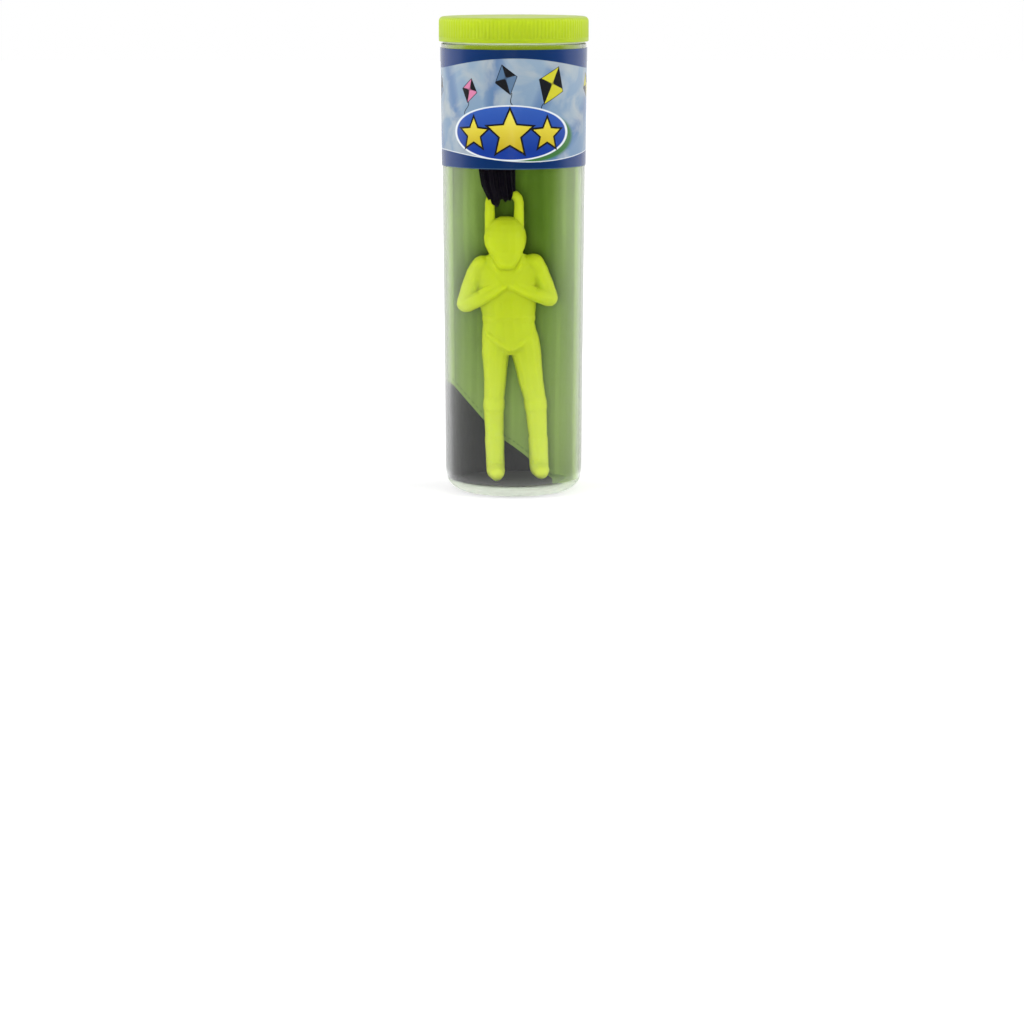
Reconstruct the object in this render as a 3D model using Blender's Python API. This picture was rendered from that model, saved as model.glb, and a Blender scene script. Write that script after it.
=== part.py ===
# Toy parachute packed in its clear tube: tube, ribbed cap, wrap label, soft trooper figure,
# the two cloth panels of the folded canopy, and the gathered net skirt that holds the figure.
# Run in Blender 4.5. Metres, +Z up, the tube's axis on Z, the front facing -Y.

import bpy
import bmesh
from mathutils import Matrix, Vector
from math import cos, pi, radians, sin, sqrt

MM = 0.001

# Tube
TUBE_HEIGHT = 127.0 * MM
TUBE_TOP_RADIUS = 19.6 * MM
TUBE_BASE_RADIUS = 18.55 * MM
TUBE_TOP_WALL = 1.05 * MM
TUBE_BASE_WALL = 0.9 * MM
FLOOR_THICKNESS = 1.7 * MM
FLOOR_CORNER_RADIUS = 2.2 * MM
FOOT_CORNER_RADIUS = 4.6 * MM
FOOT_RECESS_DEPTH = 0.8 * MM
FOOT_RING_WIDTH = 1.2 * MM
NECK_HEIGHT = 5.5 * MM
NECK_STEP = 0.5 * MM
NECK_BEAD_PROUD = 0.15 * MM
NECK_BEAD_HEIGHT = 0.9 * MM
NECK_BEAD_BELOW_RIM = 2.6 * MM
NECK_RIM_ROUND = 0.25 * MM

# Cap
CAP_HEIGHT = 6.6 * MM
CAP_WALL = 0.7 * MM
CAP_TOP_THICKNESS = 1.3 * MM
CAP_TOP_ROUND = 1.3 * MM
CAP_BAND_HEIGHT = 1.0 * MM
CAP_EDGE_ROUND = 0.2 * MM
CAP_BORE_GAP = 0.2 * MM
CAP_SEAT_GAP = 0.3 * MM
CAP_PLUG_DEPTH = 9.3 * MM
CAP_PLUG_WALL = 1.0 * MM
CAP_PLUG_GAP = 0.3 * MM
CAP_PLUG_LEAD = 0.3 * MM
RIB_DEPTH = 0.22 * MM
RIB_COUNT = 120

# Label
LABEL_HEIGHT = 31.4 * MM
LABEL_BELOW_SHOULDER = 1.2 * MM
LABEL_THICKNESS = 0.2 * MM
LABEL_GAP = 0.25 * MM
LABEL_SEAM_GAP = 0.5 * MM

# Folded canopy
PACK_GAP = 0.35 * MM
PACK_BELOW_PLUG = 0.5 * MM
PACK_LINING = 3.65 * MM
PACK_FOLD_DEPTH = 1.5 * MM
PACK_GROOVE_DEPTH = 0.45 * MM
PACK_PAD_THICKNESS = 0.9 * MM
PACK_PAD_INSET = 0.5 * MM
PACK_FOLD_COUNT = 11
PACK_EDGE_THIN_SHARE = 0.5
PACK_TOP_ROUND = 1.2 * MM
PANEL_SEAM_HEIGHT = 11.3 * MM
PANEL_SEAM_GAP = 0.3 * MM
PANEL_SEAM_SLOPE = radians(45.5)
PANEL_SEAM_TURN = radians(-16.0)
CUT_OVERRUN = 20.0 * MM

# Share of the inside height, half angle of the pack in degrees, and how far its front is filled
PACK_LEVEL_SHARES = [
    (0.080, 98, 0.42),
    (0.180, 98, 0.45),
    (0.300, 98, 0.46),
    (0.420, 98, 0.43),
    (0.540, 98, 0.40),
    (0.660, 98, 0.43),
    (0.760, 100, 0.48),
    (0.810, 104, 0.58),
    (0.850, 112, 0.70),
    (0.885, 126, 0.82),
    (0.897, 146, 0.93),
    (0.909, 166, 1.00),
]

# Figure: its height from the soles to the crown drives every section below
FIGURE_HEIGHT = 71.5 * MM
FIGURE_STAND_GAP = 0.3 * MM
FIGURE_FORWARD = 5.0 * MM

# Sections as shares of the figure's height: height, side, forward, half width, half depth
TORSO_SHARES = [
    (0.474, -0.009, 0.000, 0.065, 0.039),
    (0.494, -0.009, 0.000, 0.094, 0.055),
    (0.511, -0.010, 0.000, 0.110, 0.063),
    (0.541, -0.014, 0.000, 0.106, 0.063),
    (0.570, -0.017, 0.000, 0.101, 0.061),
    (0.597, -0.019, 0.000, 0.097, 0.059),
    (0.603, -0.019, 0.000, 0.100, 0.062),
    (0.615, -0.019, 0.000, 0.100, 0.062),
    (0.621, -0.019, 0.000, 0.097, 0.059),
    (0.668, -0.022, 0.000, 0.106, 0.061),
    (0.726, -0.022, 0.000, 0.115, 0.065),
    (0.780, -0.022, 0.000, 0.121, 0.061),
    (0.816, -0.022, 0.000, 0.115, 0.053),
    (0.839, -0.023, 0.000, 0.096, 0.043),
    (0.855, -0.025, 0.000, 0.065, 0.033),
]
HEAD_SHARES = [
    (0.804, -0.025, 0.050, 0.017, 0.017),
    (0.812, -0.026, 0.045, 0.027, 0.033),
    (0.827, -0.026, 0.036, 0.039, 0.050),
    (0.845, -0.027, 0.026, 0.051, 0.062),
    (0.863, -0.029, 0.018, 0.062, 0.071),
    (0.877, -0.030, 0.013, 0.070, 0.076),
    (0.890, -0.032, 0.009, 0.076, 0.081),
    (0.904, -0.032, 0.007, 0.078, 0.083),
    (0.922, -0.032, 0.004, 0.079, 0.084),
    (0.944, -0.031, 0.002, 0.073, 0.078),
    (0.966, -0.030, 0.001, 0.061, 0.065),
    (0.983, -0.030, 0.000, 0.044, 0.048),
    (0.995, -0.030, 0.000, 0.022, 0.024),
]
LEFT_LEG_SHARES = [
    (0.531, -0.068, 0.000, 0.049, 0.053),
    (0.484, -0.068, 0.000, 0.053, 0.055),
    (0.431, -0.069, 0.000, 0.046, 0.051),
    (0.371, -0.070, 0.000, 0.042, 0.047),
    (0.306, -0.074, 0.004, 0.038, 0.044),
    (0.295, -0.074, 0.005, 0.040, 0.047),
    (0.269, -0.075, 0.005, 0.040, 0.047),
    (0.256, -0.075, 0.004, 0.037, 0.043),
    (0.185, -0.073, 0.000, 0.035, 0.041),
    (0.159, -0.073, 0.000, 0.034, 0.039),
    (0.154, -0.073, 0.000, 0.037, 0.042),
    (0.092, -0.071, 0.000, 0.035, 0.039),
    (0.041, -0.069, 0.002, 0.035, 0.037),
]
RIGHT_LEG_SHARES = [
    (0.531, 0.045, 0.000, 0.051, 0.053),
    (0.484, 0.046, 0.000, 0.057, 0.055),
    (0.431, 0.056, 0.000, 0.051, 0.051),
    (0.371, 0.065, 0.000, 0.047, 0.047),
    (0.306, 0.080, 0.004, 0.041, 0.044),
    (0.295, 0.081, 0.005, 0.043, 0.047),
    (0.269, 0.084, 0.005, 0.042, 0.047),
    (0.256, 0.085, 0.004, 0.039, 0.043),
    (0.185, 0.090, 0.000, 0.036, 0.041),
    (0.159, 0.092, 0.000, 0.034, 0.039),
    (0.154, 0.092, 0.000, 0.037, 0.042),
    (0.092, 0.095, 0.000, 0.036, 0.039),
    (0.041, 0.096, 0.002, 0.036, 0.037),
]
LEFT_FOOT_SHARES = [
    (0.031, -0.069, -0.035, 0.029, 0.023),
    (0.033, -0.069, 0.000, 0.035, 0.030),
    (0.029, -0.067, 0.050, 0.034, 0.028),
    (0.026, -0.063, 0.092, 0.026, 0.024),
]
RIGHT_FOOT_SHARES = [
    (0.033, 0.096, -0.035, 0.029, 0.023),
    (0.035, 0.097, 0.000, 0.036, 0.030),
    (0.033, 0.100, 0.039, 0.035, 0.028),
    (0.030, 0.104, 0.078, 0.027, 0.024),
]
LEFT_UPPER_ARM_SHARES = [
    (0.816, -0.115, 0.000, 0.033, 0.039),
    (0.780, -0.144, 0.000, 0.034, 0.041),
    (0.726, -0.161, 0.004, 0.036, 0.039),
    (0.674, -0.177, 0.010, 0.034, 0.036),
]
RIGHT_UPPER_ARM_SHARES = [
    (0.820, 0.065, 0.000, 0.033, 0.039),
    (0.788, 0.096, 0.000, 0.034, 0.041),
    (0.738, 0.115, 0.004, 0.035, 0.039),
    (0.694, 0.132, 0.010, 0.033, 0.036),
]
LEFT_FOREARM_SHARES = [
    (0.670, -0.177, 0.012, 0.034, 0.036),
    (0.691, -0.127, 0.037, 0.029, 0.032),
    (0.721, -0.076, 0.056, 0.027, 0.028),
    (0.745, -0.043, 0.062, 0.025, 0.027),
]
RIGHT_FOREARM_SHARES = [
    (0.691, 0.132, 0.012, 0.033, 0.036),
    (0.705, 0.083, 0.037, 0.027, 0.032),
    (0.729, 0.031, 0.056, 0.026, 0.028),
    (0.747, 0.000, 0.062, 0.025, 0.027),
]
LEFT_STRAP_SHARES = [
    (0.851, -0.080, 0.020, 0.010, 0.010),
    (0.816, -0.068, 0.051, 0.010, 0.008),
    (0.775, -0.051, 0.063, 0.010, 0.008),
    (0.731, -0.033, 0.066, 0.010, 0.008),
]
RIGHT_STRAP_SHARES = [
    (0.851, 0.029, 0.020, 0.010, 0.010),
    (0.816, 0.022, 0.051, 0.010, 0.008),
    (0.775, 0.006, 0.063, 0.010, 0.008),
    (0.731, -0.012, 0.066, 0.010, 0.008),
]
LEFT_HIP_STRAP_SHARES = [
    (0.574, -0.102, 0.016, 0.009, 0.010),
    (0.552, -0.096, 0.037, 0.009, 0.010),
    (0.523, -0.057, 0.055, 0.010, 0.010),
    (0.498, -0.018, 0.055, 0.009, 0.008),
]
RIGHT_HIP_STRAP_SHARES = [
    (0.574, 0.068, 0.016, 0.009, 0.010),
    (0.552, 0.066, 0.037, 0.009, 0.010),
    (0.523, 0.033, 0.055, 0.010, 0.010),
    (0.498, -0.002, 0.055, 0.009, 0.008),
]

# Yoke loop above the figure's head, that the net hangs on
YOKE_WIDTH = 7.8 * MM
YOKE_SIDE = -2.5 * MM
YOKE_ABOVE_HEAD = 5.8 * MM
YOKE_HALF_WIDTH = 1.3 * MM
YOKE_HALF_DEPTH = 1.15 * MM
YOKE_CORNER_RADIUS = 2.2 * MM
YOKE_ROOT_BELOW_CROWN = 8.0 * MM

# Gathered net skirt, hung over the yoke's bar
NET_GAP = 0.3 * MM
NET_HALF_WIDTH = 7.0 * MM
NET_HALF_DEPTH = 4.4 * MM
NET_DROP = 1.3 * MM
NET_LOBE_DROP = 2.0 * MM
NET_LOBE_SHARE = -0.35
NET_LOBE_PITCH_SHARE = 1.1
NET_FAR_LOBE_LOSS_SHARE = 0.7
NET_PLEAT_COUNT = 9
NET_PLEAT_SHARE = 0.07
NET_TOP_SHARE = 0.875

# Share of the net's height, side and forward shift and half sizes as shares of its half sizes
NET_LEVEL_SHARES = [
    (0.00, -0.19, 0.02, 0.44, 0.74),
    (0.04, -0.18, 0.02, 0.54, 0.92),
    (0.12, -0.27, 0.05, 0.64, 1.00),
    (0.28, -0.35, 0.14, 0.72, 1.00),
    (0.45, -0.34, 0.30, 0.84, 0.96),
    (0.63, -0.22, 0.50, 0.97, 0.86),
    (0.82, -0.06, 0.72, 1.00, 0.72),
    (0.94, 0.02, 0.90, 0.80, 0.56),
    (1.00, 0.04, 1.00, 0.45, 0.34),
]

# Facets
LATHE_STEPS = 64
BODY_STEPS = 18
LIMB_STEPS = 12
STRAP_STEPS = 6
NET_STEPS = 36
PACK_STEPS = 28
CORNER_STEPS = 3
DOME_STEPS = 2
SHARP_ANGLE = radians(38)

# Heights and radii that follow from the sizes above
FLOOR_TOP = FOOT_RECESS_DEPTH + FLOOR_THICKNESS
SHOULDER_HEIGHT = TUBE_HEIGHT - NECK_HEIGHT
NECK_RADIUS = TUBE_TOP_RADIUS - NECK_STEP
BORE_TOP_RADIUS = TUBE_TOP_RADIUS - TUBE_TOP_WALL
BORE_BASE_RADIUS = TUBE_BASE_RADIUS - TUBE_BASE_WALL
CAP_TOP = TUBE_HEIGHT + CAP_SEAT_GAP + CAP_TOP_THICKNESS
CAP_BOTTOM = CAP_TOP - CAP_HEIGHT
CAP_BORE_RADIUS = NECK_RADIUS + NECK_BEAD_PROUD + CAP_BORE_GAP
CAP_RADIUS = CAP_BORE_RADIUS + CAP_WALL
PLUG_BOTTOM = TUBE_HEIGHT + CAP_SEAT_GAP - CAP_PLUG_DEPTH
PLUG_RADIUS = BORE_TOP_RADIUS - CAP_PLUG_GAP
LABEL_TOP = SHOULDER_HEIGHT - LABEL_BELOW_SHOULDER
PACK_BOTTOM = FLOOR_TOP + PACK_GAP
PACK_TOP = PLUG_BOTTOM - PACK_BELOW_PLUG
PAD_TOP = PACK_BOTTOM + PACK_PAD_THICKNESS
FIGURE_SOLE = PAD_TOP + FIGURE_STAND_GAP
FIGURE_CROWN = FIGURE_SOLE + FIGURE_HEIGHT
YOKE_BAR_HEIGHT = FIGURE_CROWN + YOKE_ABOVE_HEAD
NET_BOTTOM = YOKE_BAR_HEIGHT - NET_DROP
NET_TOP = FLOOR_TOP + NET_TOP_SHARE * (TUBE_HEIGHT - FLOOR_TOP)


def clear_scene():
    for item in list(bpy.data.objects):
        bpy.data.objects.remove(item, do_unlink=True)


def plastic(name, colour, roughness, alpha=1.0):
    material = bpy.data.materials.new(name)
    material.use_nodes = True
    shader = material.node_tree.nodes["Principled BSDF"]
    shader.inputs["Base Color"].default_value = (*colour, 1.0)
    shader.inputs["Roughness"].default_value = roughness
    shader.inputs["Metallic"].default_value = 0.0
    shader.inputs["Alpha"].default_value = alpha
    material.diffuse_color = (*colour, alpha)
    return material


def keep(name, bm, material, parent=None):
    """Turn a bmesh into a named, smooth-shaded object with outward faces."""
    bmesh.ops.recalc_face_normals(bm, faces=bm.faces)
    mesh = bpy.data.meshes.new(name)
    bm.to_mesh(mesh)
    bm.free()
    mesh.shade_smooth()
    mesh.set_sharp_from_angle(angle=SHARP_ANGLE)
    mesh.materials.append(material)
    item = bpy.data.objects.new(name, mesh)
    bpy.context.scene.collection.objects.link(item)
    item.parent = parent
    return item


def tool(name, bm, material):
    """A solid that only serves a Boolean."""
    item = keep(name, bm, material)
    item.hide_render = True
    item.display_type = "WIRE"
    return item


def combine(target, other, operation):
    change = target.modifiers.new(other.name, "BOOLEAN")
    change.operation = operation
    change.solver = "EXACT"
    change.object = other


def skin(rings):
    """Closed solid through rings of equal length; a ring of one point is a pole."""
    bm = bmesh.new()
    rows = [[bm.verts.new(point) for point in ring] for ring in rings]
    for low, high in zip(rows, rows[1:]):
        join_rows(bm, low, high)
    for end in (rows[0], rows[-1]):
        if len(end) > 1:
            bm.faces.new(end)
    return bm


def join_rows(bm, low, high):
    count = max(len(low), len(high))
    for step in range(count):
        after = (step + 1) % count
        if len(low) == 1:
            bm.faces.new((low[0], high[step], high[after]))
        elif len(high) == 1:
            bm.faces.new((low[step], low[after], high[0]))
        else:
            bm.faces.new((low[step], low[after], high[after], high[step]))


def circle(radius, height, steps):
    if radius == 0.0:
        return [Vector((0.0, 0.0, height))]
    turns = [2.0 * pi * step / steps for step in range(steps)]
    return [Vector((radius * cos(turn), radius * sin(turn), height)) for turn in turns]


def lathe(profile, steps):
    """Solid of revolution about Z from (radius, height) points, from axis to axis."""
    return skin([circle(radius, height, steps) for radius, height in profile])


def arc(centre_radius, centre_height, radius, start, end, steps):
    """Points of a profile's rounded corner, angles in degrees from the outward direction."""
    turns = [radians(start + (end - start) * step / steps) for step in range(steps + 1)]
    return [(centre_radius + radius * cos(turn), centre_height + radius * sin(turn)) for turn in turns]


def outside_radius(height):
    share = height / SHOULDER_HEIGHT
    return TUBE_BASE_RADIUS + share * (TUBE_TOP_RADIUS - TUBE_BASE_RADIUS)


def bore_radius(height):
    share = height / TUBE_HEIGHT
    return BORE_BASE_RADIUS + share * (BORE_TOP_RADIUS - BORE_BASE_RADIUS)


def tube_profile():
    corner_height = FOOT_CORNER_RADIUS
    foot_radius = outside_radius(corner_height) - FOOT_CORNER_RADIUS
    recess_radius = foot_radius - FOOT_RING_WIDTH
    inner_corner = FLOOR_TOP + FLOOR_CORNER_RADIUS
    bead_middle = TUBE_HEIGHT - NECK_BEAD_BELOW_RIM
    bead_half = NECK_BEAD_HEIGHT / 2.0
    profile = [(0.0, FOOT_RECESS_DEPTH), (recess_radius - FOOT_RECESS_DEPTH, FOOT_RECESS_DEPTH)]
    profile += [(recess_radius, 0.0)]
    profile += arc(foot_radius, corner_height, FOOT_CORNER_RADIUS, -90, 0, 2 * CORNER_STEPS)
    profile += [(TUBE_TOP_RADIUS, SHOULDER_HEIGHT), (NECK_RADIUS, SHOULDER_HEIGHT)]
    profile += [(NECK_RADIUS, bead_middle - bead_half)]
    profile += [(NECK_RADIUS + NECK_BEAD_PROUD, bead_middle)]
    profile += [(NECK_RADIUS, bead_middle + bead_half)]
    profile += [(NECK_RADIUS, TUBE_HEIGHT - NECK_RIM_ROUND)]
    profile += [(NECK_RADIUS - NECK_RIM_ROUND, TUBE_HEIGHT)]
    profile += [(BORE_TOP_RADIUS, TUBE_HEIGHT)]
    profile += arc(
        bore_radius(inner_corner) - FLOOR_CORNER_RADIUS,
        inner_corner,
        FLOOR_CORNER_RADIUS,
        0,
        -90,
        CORNER_STEPS,
    )
    profile += [(0.0, FLOOR_TOP)]
    return profile


def make_tube(material):
    return keep("tube", lathe(tube_profile(), LATHE_STEPS), material)


def ribbed_ring(height, root_radius, rib_height):
    """One ring with a crest and a root for every rib."""
    points = []
    for step in range(2 * RIB_COUNT):
        turn = pi * step / RIB_COUNT
        radius = root_radius + rib_height * (step % 2)
        points.append(Vector((radius * cos(turn), radius * sin(turn), height)))
    return points


def plug_profile(ceiling):
    """The sleeve inside the cap that grips the bore, joined to the cap's top and narrowed below."""
    inside_top = ceiling + 0.5 * CAP_TOP_THICKNESS
    return [
        (0.0, PLUG_BOTTOM),
        (PLUG_RADIUS - CAP_PLUG_LEAD, PLUG_BOTTOM),
        (PLUG_RADIUS, PLUG_BOTTOM + CAP_PLUG_LEAD),
        (PLUG_RADIUS, inside_top),
        (0.0, inside_top),
    ]


def make_cap(material, parent):
    root = CAP_RADIUS - RIB_DEPTH
    band_top = CAP_BOTTOM + CAP_BAND_HEIGHT
    round_height = CAP_TOP - CAP_TOP_ROUND
    rings = [ribbed_ring(CAP_BOTTOM, CAP_RADIUS - CAP_EDGE_ROUND, 0.0)]
    rings += [ribbed_ring(CAP_BOTTOM + CAP_EDGE_ROUND, CAP_RADIUS, 0.0)]
    rings += [ribbed_ring(band_top, CAP_RADIUS, 0.0)]
    rings += [ribbed_ring(band_top + RIB_DEPTH, root, RIB_DEPTH)]
    rings += [ribbed_ring(round_height, root, RIB_DEPTH)]
    for step in range(1, CORNER_STEPS + 1):
        turn = 0.5 * pi * step / CORNER_STEPS
        shrink = 1.0 - step / CORNER_STEPS
        radius = root - CAP_TOP_ROUND * (1.0 - cos(turn))
        height = round_height + CAP_TOP_ROUND * sin(turn)
        rings += [ribbed_ring(height, radius, RIB_DEPTH * shrink)]
    cap = keep("cap", skin(rings), material, parent)
    ceiling = CAP_TOP - CAP_TOP_THICKNESS
    below = CAP_BOTTOM - CUT_OVERRUN
    bore = [(0.0, below), (CAP_BORE_RADIUS, below), (CAP_BORE_RADIUS, ceiling), (0.0, ceiling)]
    combine(cap, tool("cap_bore_cutter", lathe(bore, LATHE_STEPS), material), "DIFFERENCE")
    combine(cap, tool("cap_plug", lathe(plug_profile(ceiling), LATHE_STEPS), material), "UNION")
    hollow_radius = PLUG_RADIUS - CAP_PLUG_WALL
    hollow = [(0.0, below), (hollow_radius, below), (hollow_radius, ceiling), (0.0, ceiling)]
    combine(cap, tool("cap_hollow_cutter", lathe(hollow, LATHE_STEPS), material), "DIFFERENCE")
    return cap


def make_label(material):
    """Printed band wrapped round the tube, its two ends facing each other at the back."""
    low = Vector((0.0, 0.0, LABEL_TOP - LABEL_HEIGHT))
    high = Vector((0.0, 0.0, LABEL_TOP))
    low_radius = outside_radius(low.z) + LABEL_GAP
    high_radius = outside_radius(high.z) + LABEL_GAP
    half_gap = 0.5 * LABEL_SEAM_GAP / high_radius
    rings = []
    for step in range(LATHE_STEPS + 1):
        turn = 0.5 * pi + half_gap + (2.0 * pi - 2.0 * half_gap) * step / LATHE_STEPS
        along = Vector((cos(turn), sin(turn), 0.0))
        rings.append([
            low + low_radius * along,
            low + (low_radius + LABEL_THICKNESS) * along,
            high + (high_radius + LABEL_THICKNESS) * along,
            high + high_radius * along,
        ])
    return keep("label", skin(rings), material)


def lining_radius(height):
    """Outside of the packed cloth: the bore, rounded at the floor, less the gap."""
    inner_corner = FLOOR_TOP + FLOOR_CORNER_RADIUS
    wall = bore_radius(max(height, inner_corner)) - PACK_GAP
    if height >= inner_corner:
        return wall
    corner = FLOOR_CORNER_RADIUS - PACK_GAP
    rise = inner_corner - height
    return wall - corner + sqrt(max(0.0, corner**2 - rise**2))


def pack_ring(height, half_angle, fill, inset):
    """Crescent of packed cloth at one height, open to the front, with upright folds."""
    radius = lining_radius(height) - inset
    reach = radians(half_angle)
    outer = []
    inner = []
    for step in range(PACK_STEPS + 1):
        side = 2.0 * step / PACK_STEPS - 1.0
        turn = side * reach
        fade = 1.0 - side**4
        wave = 0.5 + 0.5 * cos(PACK_FOLD_COUNT * turn)
        groove = PACK_GROOVE_DEPTH * fade * wave
        outer.append(((radius - groove) * sin(turn), (radius - groove) * cos(turn)))
        lining = PACK_LINING * (1.0 - PACK_EDGE_THIN_SHARE * side**2)
        arc_side = (radius - lining) * sin(turn)
        arc_back = (radius - lining) * cos(turn)
        chord_side = (radius - lining) * sin(reach) * side
        chord_back = (radius - lining) * cos(reach)
        fold = PACK_FOLD_DEPTH * fade * (1.0 - fill) * cos(PACK_FOLD_COUNT * turn + pi)
        inner.append((
            (1.0 - fill) * arc_side + fill * chord_side,
            (1.0 - fill) * arc_back + fill * chord_back + fold,
        ))
    return [Vector((x, y, height)) for x, y in outer + inner[::-1]]


def pack_levels():
    """Heights of the pack's rings, with its rounded foot and top edge added."""
    inside = TUBE_HEIGHT - FLOOR_TOP
    corner = FLOOR_CORNER_RADIUS - PACK_GAP
    levels = [(FLOOR_TOP + share * inside, half, fill, 0.0) for share, half, fill in PACK_LEVEL_SHARES]
    first_half, first_fill = levels[0][1], levels[0][2]
    foot = []
    for step in range(CORNER_STEPS):
        rise = corner * (1.0 - cos(0.5 * pi * step / CORNER_STEPS))
        foot.append((PACK_BOTTOM + rise, first_half, first_fill, 0.0))
    last_half, last_fill = levels[-1][1], levels[-1][2]
    crown = [(PACK_TOP - PACK_TOP_ROUND, last_half, last_fill, 0.0)]
    crown += [(PACK_TOP, last_half, last_fill, PACK_TOP_ROUND)]
    return foot + levels + crown


def make_pack(name, material, parent, keep_side):
    """The folded canopy, cut on the sewn seam so that only one panel's side stays."""
    rings = [pack_ring(*level) for level in pack_levels()]
    panel = keep(name, skin(rings), material, parent)
    pad = [(0.0, PACK_BOTTOM)]
    corner = FLOOR_CORNER_RADIUS - PACK_GAP
    for step in range(CORNER_STEPS):
        height = PACK_BOTTOM + PACK_PAD_THICKNESS * step / CORNER_STEPS
        pad.append((lining_radius(height) - PACK_PAD_INSET, height))
    pad += [(lining_radius(PAD_TOP) - corner / 2.0, PAD_TOP), (0.0, PAD_TOP)]
    combine(panel, tool(name + "_pad", lathe(pad, LATHE_STEPS), material), "UNION")
    combine(panel, tool(name + "_seam", seam_block(keep_side), material), "DIFFERENCE")
    return panel


def seam_block(side):
    """Block on one side of the seam's slanting plane; side +1 is above it, -1 below it."""
    bm = bmesh.new()
    bmesh.ops.create_cube(bm, size=1.0)
    size = 2.0 * (TUBE_HEIGHT + CUT_OVERRUN)
    lift = Vector((0.0, 0.0, side * 0.5 * (size - PANEL_SEAM_GAP)))
    place = Matrix.Translation((0.0, 0.0, PANEL_SEAM_HEIGHT))
    place = place @ Matrix.Rotation(PANEL_SEAM_TURN, 4, "X") @ Matrix.Rotation(PANEL_SEAM_SLOPE, 4, "Y")
    place = place @ Matrix.Translation(lift) @ Matrix.Scale(size, 4)
    bmesh.ops.transform(bm, matrix=place, verts=bm.verts)
    return bm


def figure_section(shares):
    """Centre, half width and half depth of one section, from shares of the figure's height."""
    height, side, forward, half_width, half_depth = [share * FIGURE_HEIGHT for share in shares]
    return Vector((side, -FIGURE_FORWARD - forward, FIGURE_SOLE + height)), half_width, half_depth


def oval(centre, wide, deep, half_width, half_depth, points):
    turns = [2.0 * pi * step / points for step in range(points)]
    return [centre + wide * half_width * cos(turn) + deep * half_depth * sin(turn) for turn in turns]


def stack(sections, points):
    """Upright body through level ovals, flat at both ends."""
    wide = Vector((1.0, 0.0, 0.0))
    deep = Vector((0.0, 1.0, 0.0))
    return skin([oval(centre, wide, deep, width, depth, points) for centre, width, depth in sections])


def limb(sections, depth_axis, points):
    """Body along a bent path, square to the path, with domed ends."""
    centres = [centre for centre, width, depth in sections]
    rings = []
    last = len(sections) - 1
    for index, (centre, width, depth) in enumerate(sections):
        along = (centres[min(index + 1, last)] - centres[max(index - 1, 0)]).normalized()
        wide = along.cross(depth_axis).normalized()
        deep = wide.cross(along).normalized()
        dome = []
        for step in range(1, DOME_STEPS + 1):
            turn = 0.5 * pi * step / (DOME_STEPS + 1)
            reach = min(width, depth) * sin(turn)
            dome.append((reach, cos(turn)))
        if index == 0:
            rings.append([centre - along * min(width, depth)])
            for reach, shrink in reversed(dome):
                middle = centre - along * reach
                rings.append(oval(middle, wide, deep, width * shrink, depth * shrink, points))
        rings.append(oval(centre, wide, deep, width, depth, points))
        if index == last:
            for reach, shrink in dome:
                middle = centre + along * reach
                rings.append(oval(middle, wide, deep, width * shrink, depth * shrink, points))
            rings.append([centre + along * min(width, depth)])
    return skin(rings)


def yoke_sections(extra=0.0):
    """The loop above the head: up one side, over the bar, down the other."""
    half = 0.5 * YOKE_WIDTH
    root = FIGURE_CROWN - YOKE_ROOT_BELOW_CROWN
    bend = YOKE_BAR_HEIGHT - YOKE_CORNER_RADIUS
    places = [(-half, root), (-half, 0.5 * (root + bend))]
    for step in range(CORNER_STEPS + 1):
        turn = 0.5 * pi * step / CORNER_STEPS
        across = YOKE_CORNER_RADIUS * cos(turn)
        places.append((-half + YOKE_CORNER_RADIUS - across, bend + YOKE_CORNER_RADIUS * sin(turn)))
    places += [(-side, height) for side, height in reversed(places)]
    return [
        (
            Vector((YOKE_SIDE + side, -FIGURE_FORWARD, height)),
            YOKE_HALF_WIDTH + extra,
            YOKE_HALF_DEPTH + extra,
        )
        for side, height in places
    ]


def make_figure(material, parent):
    """One soft moulding: the body parts are lofted apart and fused."""
    back = Vector((0.0, 1.0, 0.0))
    upright = Vector((0.0, 0.0, 1.0))
    torso = [figure_section(shares) for shares in TORSO_SHARES]
    figure = keep("figure", stack(torso, BODY_STEPS), material, parent)
    head = [figure_section(shares) for shares in HEAD_SHARES]
    combine(figure, tool("figure_head", stack(head, BODY_STEPS), material), "UNION")
    limbs = [
        ("left_leg", LEFT_LEG_SHARES, back, LIMB_STEPS),
        ("right_leg", RIGHT_LEG_SHARES, back, LIMB_STEPS),
        ("left_foot", LEFT_FOOT_SHARES, upright, LIMB_STEPS),
        ("right_foot", RIGHT_FOOT_SHARES, upright, LIMB_STEPS),
        ("left_upper_arm", LEFT_UPPER_ARM_SHARES, back, LIMB_STEPS),
        ("right_upper_arm", RIGHT_UPPER_ARM_SHARES, back, LIMB_STEPS),
        ("left_forearm", LEFT_FOREARM_SHARES, back, LIMB_STEPS),
        ("right_forearm", RIGHT_FOREARM_SHARES, back, LIMB_STEPS),
        ("left_strap", LEFT_STRAP_SHARES, back, STRAP_STEPS),
        ("right_strap", RIGHT_STRAP_SHARES, back, STRAP_STEPS),
        ("left_hip_strap", LEFT_HIP_STRAP_SHARES, back, STRAP_STEPS),
        ("right_hip_strap", RIGHT_HIP_STRAP_SHARES, back, STRAP_STEPS),
    ]
    for name, table, depth_axis, points in limbs:
        sections = [figure_section(shares) for shares in table]
        body = limb(sections, depth_axis, points)
        combine(figure, tool("figure_" + name, body, material), "UNION")
    loop = limb(yoke_sections(), back, LIMB_STEPS)
    combine(figure, tool("figure_yoke", loop, material), "UNION")
    return figure


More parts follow.
